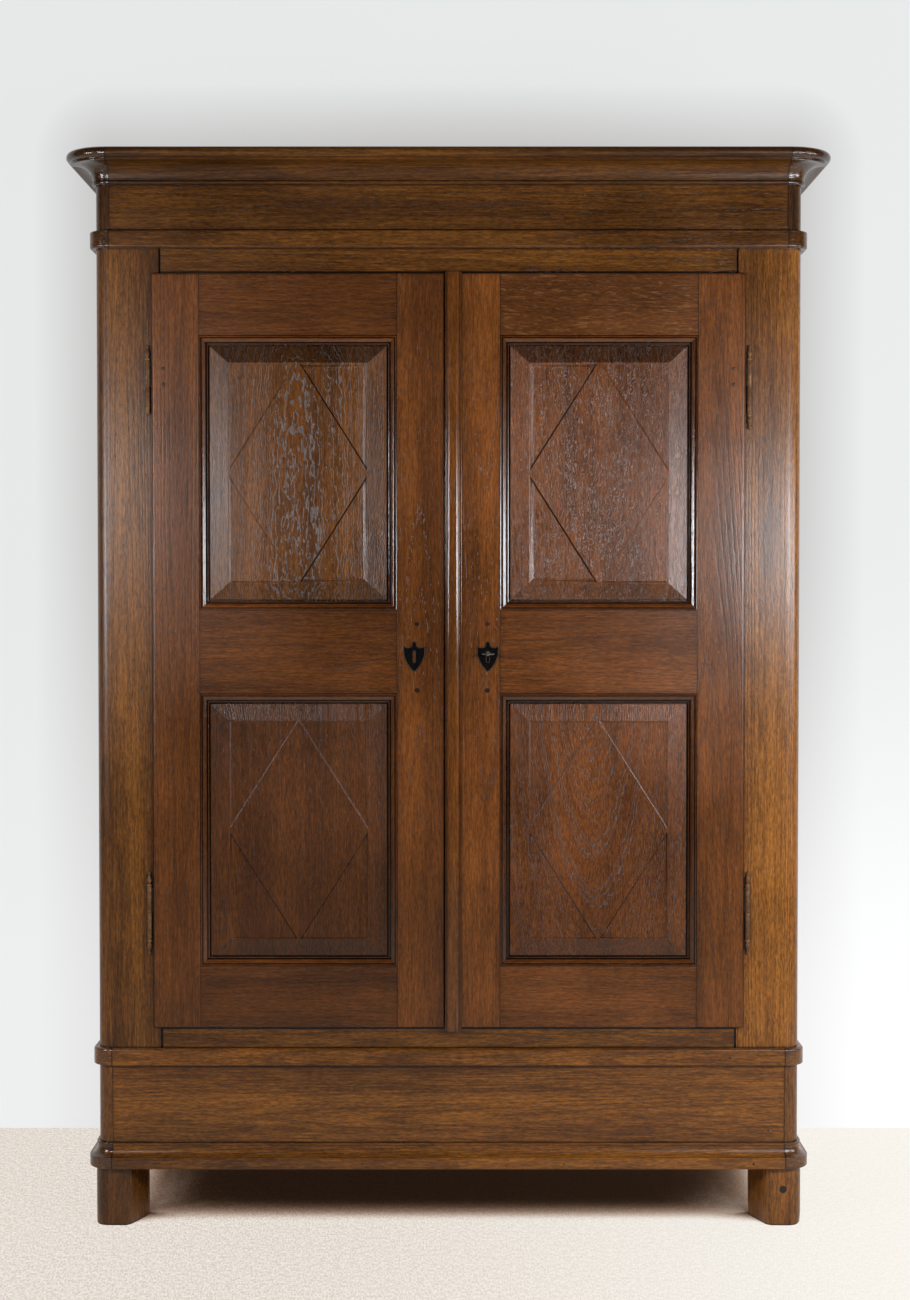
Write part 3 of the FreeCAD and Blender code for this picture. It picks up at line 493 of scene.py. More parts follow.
def build(name, shape, body, slot, material, replaced=(), along=None, pith=(0.05, 0.11),
          lean=(0.004, 0.03), off=(-0.35, 0.35), tint=0.08, tenon=0.0, shade=1.0, smooth=34,
          darker=None):
    """A wooden piece, with its grain laid and some of its faces darkened."""
    lay_grain(shape, random.Random(name), along, pith, lean, off, tint, tenon, shade)
    if darker:
        tints = shape.verts.layers.float["tint"]
        for face in shape.faces:
            for corner in face.verts:
                corner[tints] = min(corner[tints], shade * darker(face))
    piece = finished(name, shape, body, material, replaced, smooth)
    if smooth is not None:
        piece.modifiers.new("flat_faces_stay_flat", "WEIGHTED_NORMAL").keep_sharp = True


def carcass_piece(name, shape, *replaced, material=golden_oak, slot="carcass_oak", **grain):
    build(name, shape, "carcass", slot, material, replaced, **grain)


def carcass_boards(name, node, ease=0.0009, **grain):
    carcass_piece(name, eased(welded(node), ease), node, **grain)


def bruised(shape, height, depth, chance):
    """Cuts a block's lower end into small faces and wears its edges and corners back unevenly."""
    low, high = limits(shape.verts)
    cell = 0.006
    for axis in range(3):
        top = high[axis] if axis < 2 else low[2] + height
        count = int((top - low[axis]) / cell)
        cut_across(shape, axis, *(low[axis] + (top - low[axis]) * index / (count + (axis < 2))
                                  for index in range(1, count + 1)))
    shape.normal_update()
    seed = chance.uniform(0, 40)
    for vert in shape.verts:
        rise = vert.co.z - low.z
        if rise > height:
            continue
        turned = [face.normal for face in vert.link_faces]
        corner = 1 - min(a.dot(b) for a in turned for b in turned)
        wear = noise.fractal(vert.co * 55 + Vector((seed, 0, 0)), 0.6, 2.0, 3)
        chips = max(0.0, noise.noise(vert.co * 38 + Vector((0, seed, 0))) - 0.1) * 3.2
        fade = (1 - rise / height) ** 2
        amount = depth * fade * (0.25 + 0.5 * abs(wear) + chips) * (0.25 + min(corner, 1))
        vert.co -= vert.normal * amount
        vert.co.z = max(vert.co.z, low.z)
    return shape


for side, _ in SIDES:
    name, node = f"foot_{side}_worn", f"foot_front_{side}"
    carcass_piece(name, bruised(eased(welded(node), 0.0015), 0.045, 0.0035, random.Random(name)),
                  node, along="Z", pith=(0.0, 0.03), smooth=40)
carcass_boards("feet_behind", "feet_rear", along="Z", ease=0.003)


# --- Base moulding, bands and crown ----------------------------------------------------------
# Planed mouldings in oak, glued and nailed round the front and both sides: straight lengths
# butted against turned corner pieces. The lowest one stands on the feet, the crown tops it all.

corner_radius = 0.029
front_y, rear_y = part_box("plinth_board_front")[0].y, cad_high.y
side_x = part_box("plinth_corner_blocks")[1].x
joint = 0.0003


def painted_mesh(make, name, geometry, finish):
    """Ends a geometry group: its mesh is made whole and gets its material."""
    whole = make.add("GeometryNodeRealizeInstances", {0: geometry}).outputs[0]
    painted = make.add("GeometryNodeSetMaterial", {"Geometry": whole, "Material": finish})
    make.add("NodeGroupOutput", {name: painted.outputs[0]})


def sweep_tree():
    """One moulding section carried along each line of a path, with its edges eased."""
    tree, make, given = node_group("moulding_run", "GeometryNodeTree", {
        "Path": "Geometry", "Section": "Object", "Easing": 0.0008, "Finish": "Material"},
        {"Moulding": "Geometry"})
    section = make.add("GeometryNodeObjectInfo", {"Object": given["Section"]}).outputs["Geometry"]
    softened = make.add("GeometryNodeFilletCurve", {"Curve": section, "Radius": given["Easing"],
                                                    "Count": 2, "Limit Radius": True}, mode="POLY")
    upright = make.add("GeometryNodeSetCurveNormal", {"Curve": given["Path"]}, mode="Z_UP")
    swept = make.add("GeometryNodeCurveToMesh", {
        "Curve": upright.outputs[0], "Profile Curve": softened.outputs[0], "Fill Caps": True})
    painted_mesh(make, "Moulding", swept.outputs[0], given["Finish"])
    return tree


moulding_run = sweep_tree()


def grown(carrier, tree, values):
    """The shape that a node group makes from an object, which is used up."""
    maker = carrier.modifiers.new("maker", "NODES")
    maker.node_group = tree
    for item in tree.interface.items_tree:
        if item.name in values:
            maker[item.identifier] = values[item.name]
    graph = bpy.context.evaluated_depsgraph_get()
    mesh = bpy.data.meshes.new_from_object(carrier.evaluated_get(graph))
    shape = bmesh.new()
    shape.from_mesh(mesh)
    bpy.data.objects.remove(carrier)
    bpy.data.meshes.remove(mesh)
    return shape


def arc_points(start, end, radius, step=math.radians(7)):
    """Points from start to end on an arc, anticlockwise for a positive radius."""
    start, end = Vector(start), Vector(end)
    chord = end - start
    reach = math.sqrt(max(radius ** 2 - (chord.length / 2) ** 2, 0))
    across = Vector((-chord.y, chord.x)).normalized()
    centre = (start + end) / 2 + across * reach * (1 if radius > 0 else -1)
    first = math.atan2(start.y - centre.y, start.x - centre.x)
    turn = math.atan2(end.y - centre.y, end.x - centre.x) - first
    turn = turn % (2 * math.pi) if radius > 0 else -((-turn) % (2 * math.pi))
    count = max(2, math.ceil(abs(turn) / step))
    angles = [first + turn * i / count for i in range(count)]
    return [centre + Vector((math.cos(a), math.sin(a))) * abs(radius) for a in angles]


def outline(corners):
    """A closed line through corners (across, up); a third number is an arc to the next corner."""
    points = []
    for corner, following in zip(corners, corners[1:] + corners[:1]):
        if len(corner) == 3:
            points += arc_points(corner[:2], following[:2], corner[2])
        else:
            points.append(Vector(corner[:2]))
    return points


def curve_object(name, lines, cyclic=False):
    """Lines as curves. An open line of four is a quarter circle: its ends, with its handles."""
    data = bpy.data.curves.new(name, "CURVE")
    data.dimensions = "3D"
    for line in lines:
        if len(line) == 4 and not cyclic:
            spline = data.splines.new("BEZIER")
            spline.bezier_points.add(1)
            first, last = spline.bezier_points
            for point, place, handle in ((first, line[0], line[1]), (last, line[3], line[2])):
                point.co = place
                point.handle_left_type = point.handle_right_type = "FREE"
                point.handle_left = point.handle_right = handle
            first.handle_left = first.co * 2 - Vector(line[1])
            last.handle_right = last.co * 2 - Vector(line[2])
            spline.resolution_u = 16
        else:
            spline = data.splines.new("POLY")
            spline.points.add(len(line) - 1)
            for point, place in zip(spline.points, line):
                point.co = (*place, 1)
            spline.use_cyclic_u = cyclic
    return put(name, data)


def swept_shape(name, lines, corners, material, easing=0.0008):
    """Runs a section along lines through the moulding tree and returns the result as a shape."""
    path = curve_object(f"{name}_path", lines)
    section = curve_object(f"{name}_section", [[(p.x, -p.y, 0) for p in outline(corners)]],
                           cyclic=True)
    shape = grown(path, moulding_run, {"Section": section, "Easing": easing, "Finish": material})
    bpy.data.objects.remove(section)
    bmesh.ops.remove_doubles(shape, verts=shape.verts, dist=1e-6)
    bmesh.ops.recalc_face_normals(shape, faces=shape.faces)
    return shape


def round_the_case(name, node, level, corners, shade=1.0, material=golden_oak):
    """A moulding as a front length, two corner pieces and two side lengths."""
    flat_x, flat_y = side_x - corner_radius, front_y + corner_radius
    pull = corner_radius * 0.5523
    lines = {"front": [[(-flat_x + joint, front_y, level), (flat_x - joint, front_y, level)]],
             "corners": [], "returns": []}
    for _, way in SIDES:
        turn = [(flat_x * way, front_y, level), (flat_x * way + pull * way, front_y, level),
                (side_x * way, flat_y - pull, level), (side_x * way, flat_y, level)]
        back = [(side_x * way, flat_y + joint, level), (side_x * way, rear_y, level)]
        lines["corners"].append(turn[::way])
        lines["returns"].append(back[::way])
    for part, run in (("front", "X"), ("corners", "X"), ("returns", "Y")):
        paint, tone = (polished_oak, 0.72) if part == "corners" else (material, 1.0)
        carcass_piece(f"{name}_{part}_moulded",
                      swept_shape(f"{name}_{part}", lines[part], corners, paint),
                      f"{node}_{part}", material=paint, along=run, smooth=36, shade=shade * tone)


def band(projection, low_round, high_round):
    height = 0.034
    return [(0, 0), (projection - low_round, 0, low_round), (projection, low_round),
            (projection, height - high_round, high_round), (projection - high_round, height),
            (0, height)]


base_height = 0.049
round_the_case("base", "base_moulding", 0.115,
               [(0, 0), (0.0175, 0, 0.0025), (0.020, 0.0025), (0.020, 0.0222, 0.0008),
                (0.0192, 0.023), (0.017, 0.023, -0.0195), (0.0045, 0.044), (0.006, 0.044),
                (0.006, base_height), (0, base_height)])
# The lower band is set lighter, and the upper band and the crown darker, partly as painted light
# that falls off towards the top.
round_the_case("low_band", "base_band", 0.318, band(0.011, 0.0022, 0.0055), shade=1.3)
round_the_case("high_band", "top_band", 1.921, band(0.0125, 0.005, 0.0025), shade=0.7)
crown_reach, nose_round = 0.0575, 0.00881
nose = crown_reach - nose_round
round_the_case("crown", "crown", 2.045,
               [(0, 0), (0.0045, 0, 0.0039), (0.0045, 0.0075), (0.006, 0.0075, -0.0322),
                (0.038, 0.0395), (nose - 0.0015, 0.0395), (nose - 0.0015, 0.044),
                (nose, 0.044, 0.0098), (nose, 0.0635), (nose - 0.0005, 0.064), (0, 0.064)],
               shade=0.5, material=matt_oak)


# --- Plinth and frieze ------------------------------------------------------------------------
# Each is a box of thick oak boards: a front board between two quarter-round corner blocks, side
# boards and a plain board behind. The frieze lifts off with the crown.

def box_between(shape, low, high):
    """Adds a plain block to a shape, to be eased with it later."""
    middle, size = (Vector(low) + Vector(high)) / 2, Vector(high) - Vector(low)
    bmesh.ops.create_cube(shape, size=1, matrix=Matrix.Translation(middle)
                          @ Matrix.Diagonal((*size, 1)))
    return shape


def lifted_edge(shape, gap):
    """Planes the lower edges of a shape's boards up, so that an open gap is left under them."""
    level = limits(shape.verts)[0].z
    for vert in shape.verts:
        if vert.co.z < level + 0.001:
            vert.co.z += gap
    return shape


board = 0.022
# The plinth is set lighter and the frieze darker, partly as painted light that falls off towards
# the top.
for level, shade, gap in (("plinth", 1.12, 0.0), ("frieze", 0.58, 0.0026)):
    for part, node, run, tone in (("front", "board_front", "X", 1.0),
                                  ("corners", "corner_blocks", "Z", 0.8)):
        node = f"{level}_{node}"
        carcass_piece(f"{level}_{part}", eased(lifted_edge(welded(node), gap), 0.0007), node,
                      along=run, shade=shade * tone)
    node = f"{level}_boards_side_and_rear"
    low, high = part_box(node)
    sides = bmesh.new()
    for left, right in ((low.x, low.x + board), (high.x - board, high.x)):
        box_between(sides, (left, low.y, low.z), (right, high.y - board, high.z))
    rear = box_between(bmesh.new(), (low.x, high.y - board, low.z), high)
    for part, shape, run in (("sides", sides, "Y"), ("rear", rear, "X")):
        carcass_piece(f"{level}_{part}", eased(shape), node, along=run, shade=shade * 1.3)


# --- Frame ------------------------------------------------------------------------------------
# Two front posts with rounded outer corners, rails between them on tenons, and side frames with
# thin panels. Round the doors a band of painted shade darkens the posts and rails, and the
# rails' shoulders have opened.

door_low, door_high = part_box("left_hinge_stile")
# Painted shade: a dark band on the posts and rails along the door lips, where the gaps round the
# doors are.
painted_shade, fade = 0.0036, 0.0014
edge = abs(door_low.x) + painted_shade / 3
# The left post is set darker and the right one much lighter, as painted light from the stronger
# lamp on the right.
for side, way in SIDES:
    node = f"front_post_{side}"
    shape = cut_across(eased(welded(node), 0.0007), 0, way * edge, way * (edge + fade))
    shape = cut_across(shape, 2, door_low.z - fade, door_low.z, door_high.z, door_high.z + fade)
    carcass_piece(f"post_{side}", shape, node, along="Z", shade=0.78 if side == "left" else 1.3,
                  darker=lambda face: 0.25 if abs(face.calc_center_median().x) < edge
                  and door_low.z < face.calc_center_median().z < door_high.z else 1.0)
shoulder, shoulder_gap, tenon = 0.565, 0.0016, 0.0415
for level, edge, way in (("bottom", door_low.z, -1), ("top", door_high.z, 1)):
    node = f"front_rail_{level}"
    shape = welded(node)
    for vert in shape.verts:
        if abs(abs(vert.co.x) - shoulder) < 0.001:
            vert.co.x -= math.copysign(shoulder_gap, vert.co.x)
    shape = cut_across(eased(shape, 0.0006), 2, edge + way * painted_shade, edge + way * (painted_shade + fade))
    carcass_piece(f"rail_{level}", shape, node, along="X", tenon=tenon + shoulder_gap, shade=0.85,
                  darker=lambda face: 0.1 if (face.calc_center_median().z - edge) * way < painted_shade
                  else 1.0)
carcass_boards("side_frame_rails", "side_rails", along="Y")
carcass_boards("side_frame_panels", "side_panels", along="Z", ease=0.0004)


# --- Inside and back ---------------------------------------------------------------------------
# Unwaxed boards: floor, ceiling, back, three loose shelves on cleats, and the rear posts and
# rails. They are drier, paler and greyer than the outside.

dry_oak = oak("dry_oak", (0.17, 0.095, 0.045), (0.34, 0.215, 0.115), (0.10, 0.055, 0.028),
              ring_depth=0.45, pore_depth=0.45, rough=0.66, relief=0.7, edge_depth=0.35)
for name, node, run in (
        ("floor_inside", "floor_boards", "X"), ("ceiling_inside", "ceiling_boards", "X"),
        ("back_planks", "back_boards", "Z"), ("shelf_boards", "shelves", "X"),
        ("cleats", "shelf_cleats", "Y"), ("posts_behind", "rear_posts", "Z"),
        ("rails_behind", "rear_rails", "X")):
    carcass_boards(name, node, material=dry_oak, slot="inner_wood", along=run, tint=0.14)


# --- Doors ------------------------------------------------------------------------------------
# Framed oak doors with a thin lip that overlaps the posts. Stiles run the full height, and three
# rails are tenoned and pegged between them.

red_oak = oak("red_brown_oak", (0.048, 0.0135, 0.0024), (0.160, 0.047, 0.0080),
              (0.020, 0.006, 0.002), ring_depth=0.35, pore_depth=0.6, cover=0.45,
              ring_width=0.0042, relief=0.5)
flecked_oak = oak("flecked_oak", (0.055, 0.016, 0.0030), (0.128, 0.040, 0.0085),
                  (0.020, 0.006, 0.002), ring_depth=0.2, pore_depth=0.4, cover=0.4,
                  fleck_depth=0.45, slant=2.2, fleck=(0.22, 0.088, 0.026))


def door_piece(name, shape, side, *replaced, material=red_oak, slot="door_oak", **grain):
    build(name, shape, f"{side}_door", slot, material, replaced, **grain)


# The right door's stiles and rails are set lighter than the left door's, as painted light from the
# stronger lamp on the right.
for side, _ in SIDES:
    left = side == "left"
    for name, node, shade in (("hinge", "hinge", 0.95 if left else 1.15),
                              ("lock", "meeting", 1.15 if left else 1.3)):
        node = f"{side}_{node}_stile"
        door_piece(f"{side}_stile_{name}_side", eased(welded(node), 0.0007), side, node,
                   along="Z", shade=shade)
    rails = welded(f"{side}_rails")
    boards = sorted(islands(rails), key=lambda board: board[0].co.z)
    for place, board in zip(("bottom", "middle", "top"), boards):
        rail = bmesh.new()
        copies = {v: rail.verts.new(v.co) for v in board}
        for face in dict.fromkeys(face for v in board for face in v.link_faces):
            rail.faces.new([copies[v] for v in face.verts])
        door_piece(f"{side}_rail_{place}", eased(rail, 0.0007), side, f"{side}_rails",
                   material=flecked_oak if (side, place) == ("right", "top") else red_oak,
                   along="X", tenon=0.06, shade=0.82 if left else 1.0)
    rails.free()


# --- Panel mouldings --------------------------------------------------------------------------
# Four mitred sticks hold each panel in its frame: a narrow fillet, a flat, a slope down to the
# panel and a small bead, planed in oak. A deep dark gap is left between the bead and the panel.

def inset(low, high, depth, across, along):
    """The four corners of an upright rectangle, moved inwards by two amounts."""
    return [Vector((x, depth, z)) for x, z in
            ((low.x + across, low.z + along), (high.x - across, low.z + along),
             (high.x - across, high.z - along), (low.x + across, high.z - along))]


planed = dict(ring_depth=0.3, pore_depth=0.45, cover=0.45)
stick_oak = oak("stick_oak", (0.040, 0.011, 0.002), (0.125, 0.036, 0.006), (0.018, 0.005, 0.002),
                rough=0.14, wax=0.5, **planed)
door_front = -0.24175
groove_depth = 0.009
mitre_gap = 0.00012
stick = [(0.0, 0.0120), (0.0, 0.0022), (0.0008, 0.0022), (0.0012, 0.0006), (0.0020, 0.0001),
         (0.0034, 0.0003), (0.0040, 0.0026), (0.0054, 0.0028), (0.0058, 0.0008), (0.0070, 0.0008),
         (0.0080, 0.0012), (0.0120, 0.0040), (0.0126, 0.0050), (0.0128, 0.0092), (0.0146, 0.0094),
         (0.0149, 0.0070), (0.0160, 0.0062), (0.0172, 0.0066), (0.0178, 0.0080), (0.0178, 0.0120)]
panel_opening = {}
for side, _ in SIDES:
    shape = bmesh.new()
    for level in ("upper", "lower"):
        low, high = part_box(f"{side}_{level}_panel")
        groove = Vector((groove_depth, 0, groove_depth))
        low, high = panel_opening[side, level] = low + groove, high - groove
        for k in range(4):
            rows = []
            for amount, depth in stick:
                corners = inset(low, high, door_front + depth, amount, amount)
                start, end = corners[k], corners[(k + 1) % 4]
                gap = (end - start).normalized() * mitre_gap
                rows.append((shape.verts.new(start + gap), shape.verts.new(end - gap)))
            for first, second in zip(rows, rows[1:] + rows[:1]):
                shape.faces.new((first[0], first[1], second[1], second[0]))
            shape.faces.new([row[0] for row in rows])
            shape.faces.new([row[1] for row in reversed(rows)])
    bmesh.ops.recalc_face_normals(shape, faces=shape.faces)
    door_piece(f"{side}_sticks", shape, side, f"{side}_panel_mouldings", material=stick_oak,
               smooth=28, tint=0.05)


# --- Panels -----------------------------------------------------------------------------------
# Each panel is one figured oak board: bevels rise to a thin ridge, and inside it the corners are
# cut back so that a lozenge stands up. The four boards have their own figure.

panel_looks = {
    "left_upper": (1.0, dict(pith=(0.135, 0.14), lean=(0.028, 0.03), off=(-0.02, 0.0)),
                   dict(ring_width=0.0023, cover=0.82, hold=0.60, curl=0.006,
                        dark=(0.038, 0.011, 0.0015), light=(0.150, 0.047, 0.006))),
    "right_upper": (1.6, dict(pith=(0.16, 0.17), lean=(0.05, 0.06), off=(0.02, 0.04)),
                    dict(ring_width=0.0016, cover=0.92, hold=0.55, curl=0.014,
                         dark=(0.050, 0.014, 0.003), light=(0.185, 0.053, 0.010))),
    "left_lower": (0.1, dict(pith=(0.05, 0.06), lean=(0.01, 0.015), off=(0.3, 0.4)),
                   dict(ring_width=0.003, cover=0.45, hold=0.2, curl=0.002,
                        dark=(0.034, 0.009, 0.0012), light=(0.095, 0.027, 0.004))),
    "right_lower": (0.6, dict(pith=(0.11, 0.12), lean=(-0.17, -0.16), off=(0.0, 0.02)),
                    dict(ring_width=0.003, cover=0.66, hold=0.50, curl=0.006,
                         dark=(0.050, 0.013, 0.002), light=(0.155, 0.044, 0.008))),
}
key_level = 1.1295


def end_grain_and_shade(face):
    """Bevels that cut across the fibres soak up more stain, so the lower bevels are darker. The
    upper bevel of each upper panel is darker still, as painted shade.
    """
    rise = face.normal.z
    if face.calc_area() < 0.003 or abs(rise) < 0.1 or face.normal.y > -0.9:
        return 1.0
    upper = face.calc_center_median().z > key_level
    return 0.7 if rise < 0 else 0.4 if upper else 1.0


def raised_board(side, level):
    """A panel with its tongue, bevels, ridge and four sunk corners with sloping walls. A line is
    sharpest beside the meeting of the doors on the upper panels, faintest low on the others."""
    low, high = panel_opening[side, level]
    foot, top, sunk = door_front + 0.0070, door_front + 0.0018, door_front + 0.0042
    tongue = door_front + 0.012
    across, along = 0.057, 0.053
    shape = bmesh.new()
    rings = [[shape.verts.new(point) for point in inset(low, high, depth, *amounts)]
             for depth, amounts in (
                 (door_front + 0.020, (-groove_depth, -groove_depth)),
                 (tongue, (-groove_depth, -groove_depth)), (tongue, (0.0205, 0.0205)),
                 (foot, (0.0207, 0.0207)), (top, (across, along)))]
    shape.faces.new(rings[0])
    for outer, inner in zip(rings, rings[1:]):
        for k in range(4):
            shape.faces.new((outer[k], outer[(k + 1) % 4], inner[(k + 1) % 4], inner[k]))

    centre = (low + high) / 2
    ridge, tip, slope = 0.0012, 0.0022, 0.0032
    far_x, far_z = (high.x - low.x) / 2 - across - ridge, (high.z - low.z) / 2 - along - ridge
    sunken = []
    for sx, sz in ((-1, -1), (1, -1), (1, 1), (-1, 1)):
        corner, flat, upright = points = [
            Vector((centre.x + sx * x, top, centre.z + sz * z))
            for x, z in ((far_x, far_z), (tip, far_z), (far_x, tip * far_z / far_x))]
        outer = [shape.verts.new(point) for point in points]
        wide, tall = (corner - flat).length, (corner - upright).length
        inner_radius = wide * tall / (wide + tall + (flat - upright).length)
        heart = corner + Vector((-sx * inner_radius, 0, -sz * inner_radius))
        share = slope / inner_radius
        gentle = halfway = (top + sunk) / 2
        if level == "upper" and sx == (1 if side == "left" else -1):
            halfway = sunk + 0.0018
            heart += (heart - corner) * 0.4
            share *= 2.0
        elif level == "lower" and sz < 0:
            halfway = sunk + 0.0004
        groove, inner = [[shape.verts.new(point.lerp(heart, way_in) + Vector((0, depth - top, 0)))
                          for point, depth in zip(points, depths)]
                         for way_in, depths in ((share * 0.5, (gentle, halfway, halfway)),
                                                (share, (sunk, sunk, sunk)))]
        for k in range(3):
            shape.faces.new((outer[k], outer[(k + 1) % 3], groove[(k + 1) % 3], groove[k]))
            shape.faces.new((groove[k], groove[(k + 1) % 3], inner[(k + 1) % 3], inner[k]))
        shape.faces.new(inner)
        sunken.append(outer)
    around = []
    for k, edge in enumerate(rings[-1]):
        first, second, touching = sunken[k], sunken[(k + 1) % 4], 1 + k % 2
        around += [first[touching], second[touching]]
        shape.faces.new((edge, rings[-1][(k + 1) % 4], second[0], second[touching],
                         first[touching], first[0]))
    heart = shape.verts.new((centre.x, top, centre.z))
    for first, second in zip(around, around[1:] + around[:1]):
        shape.faces.new((first, second, heart))
    bmesh.ops.recalc_face_normals(shape, faces=shape.faces)
    return eased(shape, 0.0005, 1, sharper_than=9)


for place, (grey, laid, figure) in panel_looks.items():
    side, level = place.split("_")
    pore = tuple(0.008 + grey * part for part in (0.10, 0.075, 0.066))
    material = oak(f"{place}_figure", pore=pore, ring_depth=0.6, pore_depth=0.8, wander=0.03,
                   reach=0.006, relief=0.9, contrast=0.42, **figure)
    door_piece(f"{place}_raised", raised_board(side, level), side, f"{place}_panel",
               material=material, slot="panel_oak", along="Z", tint=0.0, smooth=None,
               darker=end_grain_and_shade, **laid)


# --- Pegs --------------------------------------------------------------------------------------
# Oak pegs lock the middle rails' tenons in the meeting stiles. Their end grain has gone dark and
# stands a hair proud, because the frame has shrunk round them.

def stud_tree():
    """Round heads that face forwards, one at each point of a mesh, none quite like the next."""
    tree, make, given = node_group("studs", "GeometryNodeTree", {
        "Places": "Geometry", "Radius": 0.003, "Height": 0.001, "Finish": "Material"},
        {"Studs": "Geometry"})
    head = make.add("GeometryNodeMeshCylinder", {"Vertices": 16, "Radius": given["Radius"],
                                                 "Depth": given["Height"]}).outputs[0]
    size = make.add("FunctionNodeRandomValue", {2: 0.8, 3: 1.15, 8: 7},
                    data_type="FLOAT").outputs[1]
    placed = make.add("GeometryNodeInstanceOnPoints", {
        "Points": given["Places"], "Instance": head, "Rotation": (math.pi / 2, 0, 0),
        "Scale": size}).outputs[0]
    painted_mesh(make, "Studs", placed, given["Finish"])
    return tree


studs = stud_tree()


def studded(name, places, radius, proud, material, depth=0.002):
    """Heads at places on forward faces: each stands proud by an amount and is sunk behind that."""
    mesh = bpy.data.meshes.new(f"{name}_places")
    mesh.from_pydata([(x, y - proud + depth / 2, z) for x, y, z in places], [], [])
    shape = grown(put(f"{name}_places", mesh), studs,
                  {"Radius": radius, "Height": depth, "Finish": material})
    bpy.data.meshes.remove(mesh)
    return shape


middle_rail = panel_opening["left", "lower"][1].z, panel_opening["left", "upper"][0].z
for side, way in SIDES:
    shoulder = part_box(f"{side}_meeting_stile")[0 if way < 0 else 1].x
    places = [(shoulder - way * (0.0385 if way < 0 else 0.024), door_front, level)
              for level in (middle_rail[0] + 0.006, middle_rail[1] - 0.027)]
    door_piece(f"{side}_pegs", studded(f"{side}_pegs", places, 0.0044, 0.0003, red_oak), side,
               along="Y", shade=0.4)


# --- Cover strip ------------------------------------------------------------------------------
# A flat-topped bead between two small fillets, planed from one length of oak and fixed to the
# right door, so that it covers the gap where the doors meet.

strip_oak = oak("strip_oak", (0.060, 0.018, 0.003), (0.215, 0.066, 0.0105), (0.020, 0.006, 0.002),
                rough=0.15, wax=0.42, **planed)
strip_low, strip_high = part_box("cover_strip")
width, depth, base = strip_high.x - strip_low.x, strip_high.y - strip_low.y - 5e-5, 0.003
left_fillet, left_round, right_fillet, right_round = 0.003, 0.007, 0.0055, 0.006
shape = swept_shape("strip", [[(strip_low.x, strip_high.y, strip_low.z + 1e-4),
                               (strip_low.x, strip_high.y, strip_high.z)]],
                    [(0, 0), (width, 0), (width, base), (width - right_fillet, base),
                     (width - right_fillet, depth - right_round, right_round),
                     (width - right_fillet - right_round, depth),
                     (left_fillet + left_round, depth, left_round),
                     (left_fillet, depth - left_round), (left_fillet, base), (0, base)],
                    strip_oak, easing=0.0009)
door_piece("strip_half_round", shape, "right", "cover_strip", material=strip_oak, along="Z")


# --- Hinges -----------------------------------------------------------------------------------
# Lift-off barrel hinges in dull brass: the sleeve on the door drops over a pin that stands up
# from the post. Each half ends in a small turned finial; the upper left pin has lost its own.

def metal(name, clean, dirty, dirt_from, dirt_to, rough_clean, rough_dirty, metallic, pits=0.25,
          bright=None, shine_level=0.12, painted_shade=1.0):
    """Metal with dirt or rust in patches, painted shade in its hollows, small pits, and brighter
    places where it is rubbed.
    """
    material, make = new_material(name)
    place = make.place()
    patches = make.noise(place, 130, 4, 0.65, 0.4)
    fine = make.noise(place, 900, 2, 0.6)
    # Dirt in patches, together with painted shade in the hollows up to the given amount.
    dirt = make.sum("MAXIMUM", make.ramp(patches, dirt_from, dirt_to),
                       make.ramp(make.open_air(0.004, 6), 0.3, 0.8, painted_shade, 0.0))
    rubbed = make.times(make.marked("rubbed", "Fac"),
                           make.ramp(fine, 0.3, 0.6, 0.3, 1.0))
    dirt = make.times(dirt, make.minus(1, rubbed))
    tone = make.blend(dirt, clean, dirty)
    tone = make.blend(make.times(rubbed, 0.6), tone,
                         bright or [min(1, part * 1.8) for part in clean])
    gloss, shine = (make.ramp(dirt, 0, 1, *ends, smooth=False)
                    for ends in ((rough_clean, rough_dirty), (metallic, metallic * 0.35)))
    make.surface(tone, gloss, make.bump(make.plus(fine, patches), pits, 0.0003),
                    shine_level, Metallic=shine)
    return material


dull_brass = metal("dull_brass", (0.175, 0.085, 0.030), (0.085, 0.036, 0.013), 0.30, 0.58,
                   0.36, 0.55, 0.25, painted_shade=0.7, shine_level=0.2)
# The hinge leaves are painted near black, as painted shade in the slots beside the barrels.
brass_in_painted_shade = metal("brass_in_painted_shade", (0.020, 0.010, 0.005), (0.008, 0.004, 0.002), 0.3, 0.6,
                    0.5, 0.7, 0.1)


def turned(shape, profile, place, axis="Z", segments=20):
    """Adds a turned form to a shape, from (radius, distance along its axis) pairs."""
    aim = {"Z": Matrix.Identity(3), "Y": Matrix.Rotation(-math.pi / 2, 3, "X")}[axis]
    rings = []
    for radius, distance in profile:
        turns = segments if radius > 1e-5 else 1
        rings.append([shape.verts.new(Vector(place) + aim @ Vector((
            radius * math.cos(2 * math.pi * i / segments),
            radius * math.sin(2 * math.pi * i / segments), distance))) for i in range(turns)])
    for lower, upper in zip(rings, rings[1:]):
        for i in range(segments):
            j = (i + 1) % segments
            corners = [lower[i % len(lower)], lower[j % len(lower)],
                       upper[j % len(upper)], upper[i % len(upper)]]
            shape.faces.new(list(dict.fromkeys(corners)))


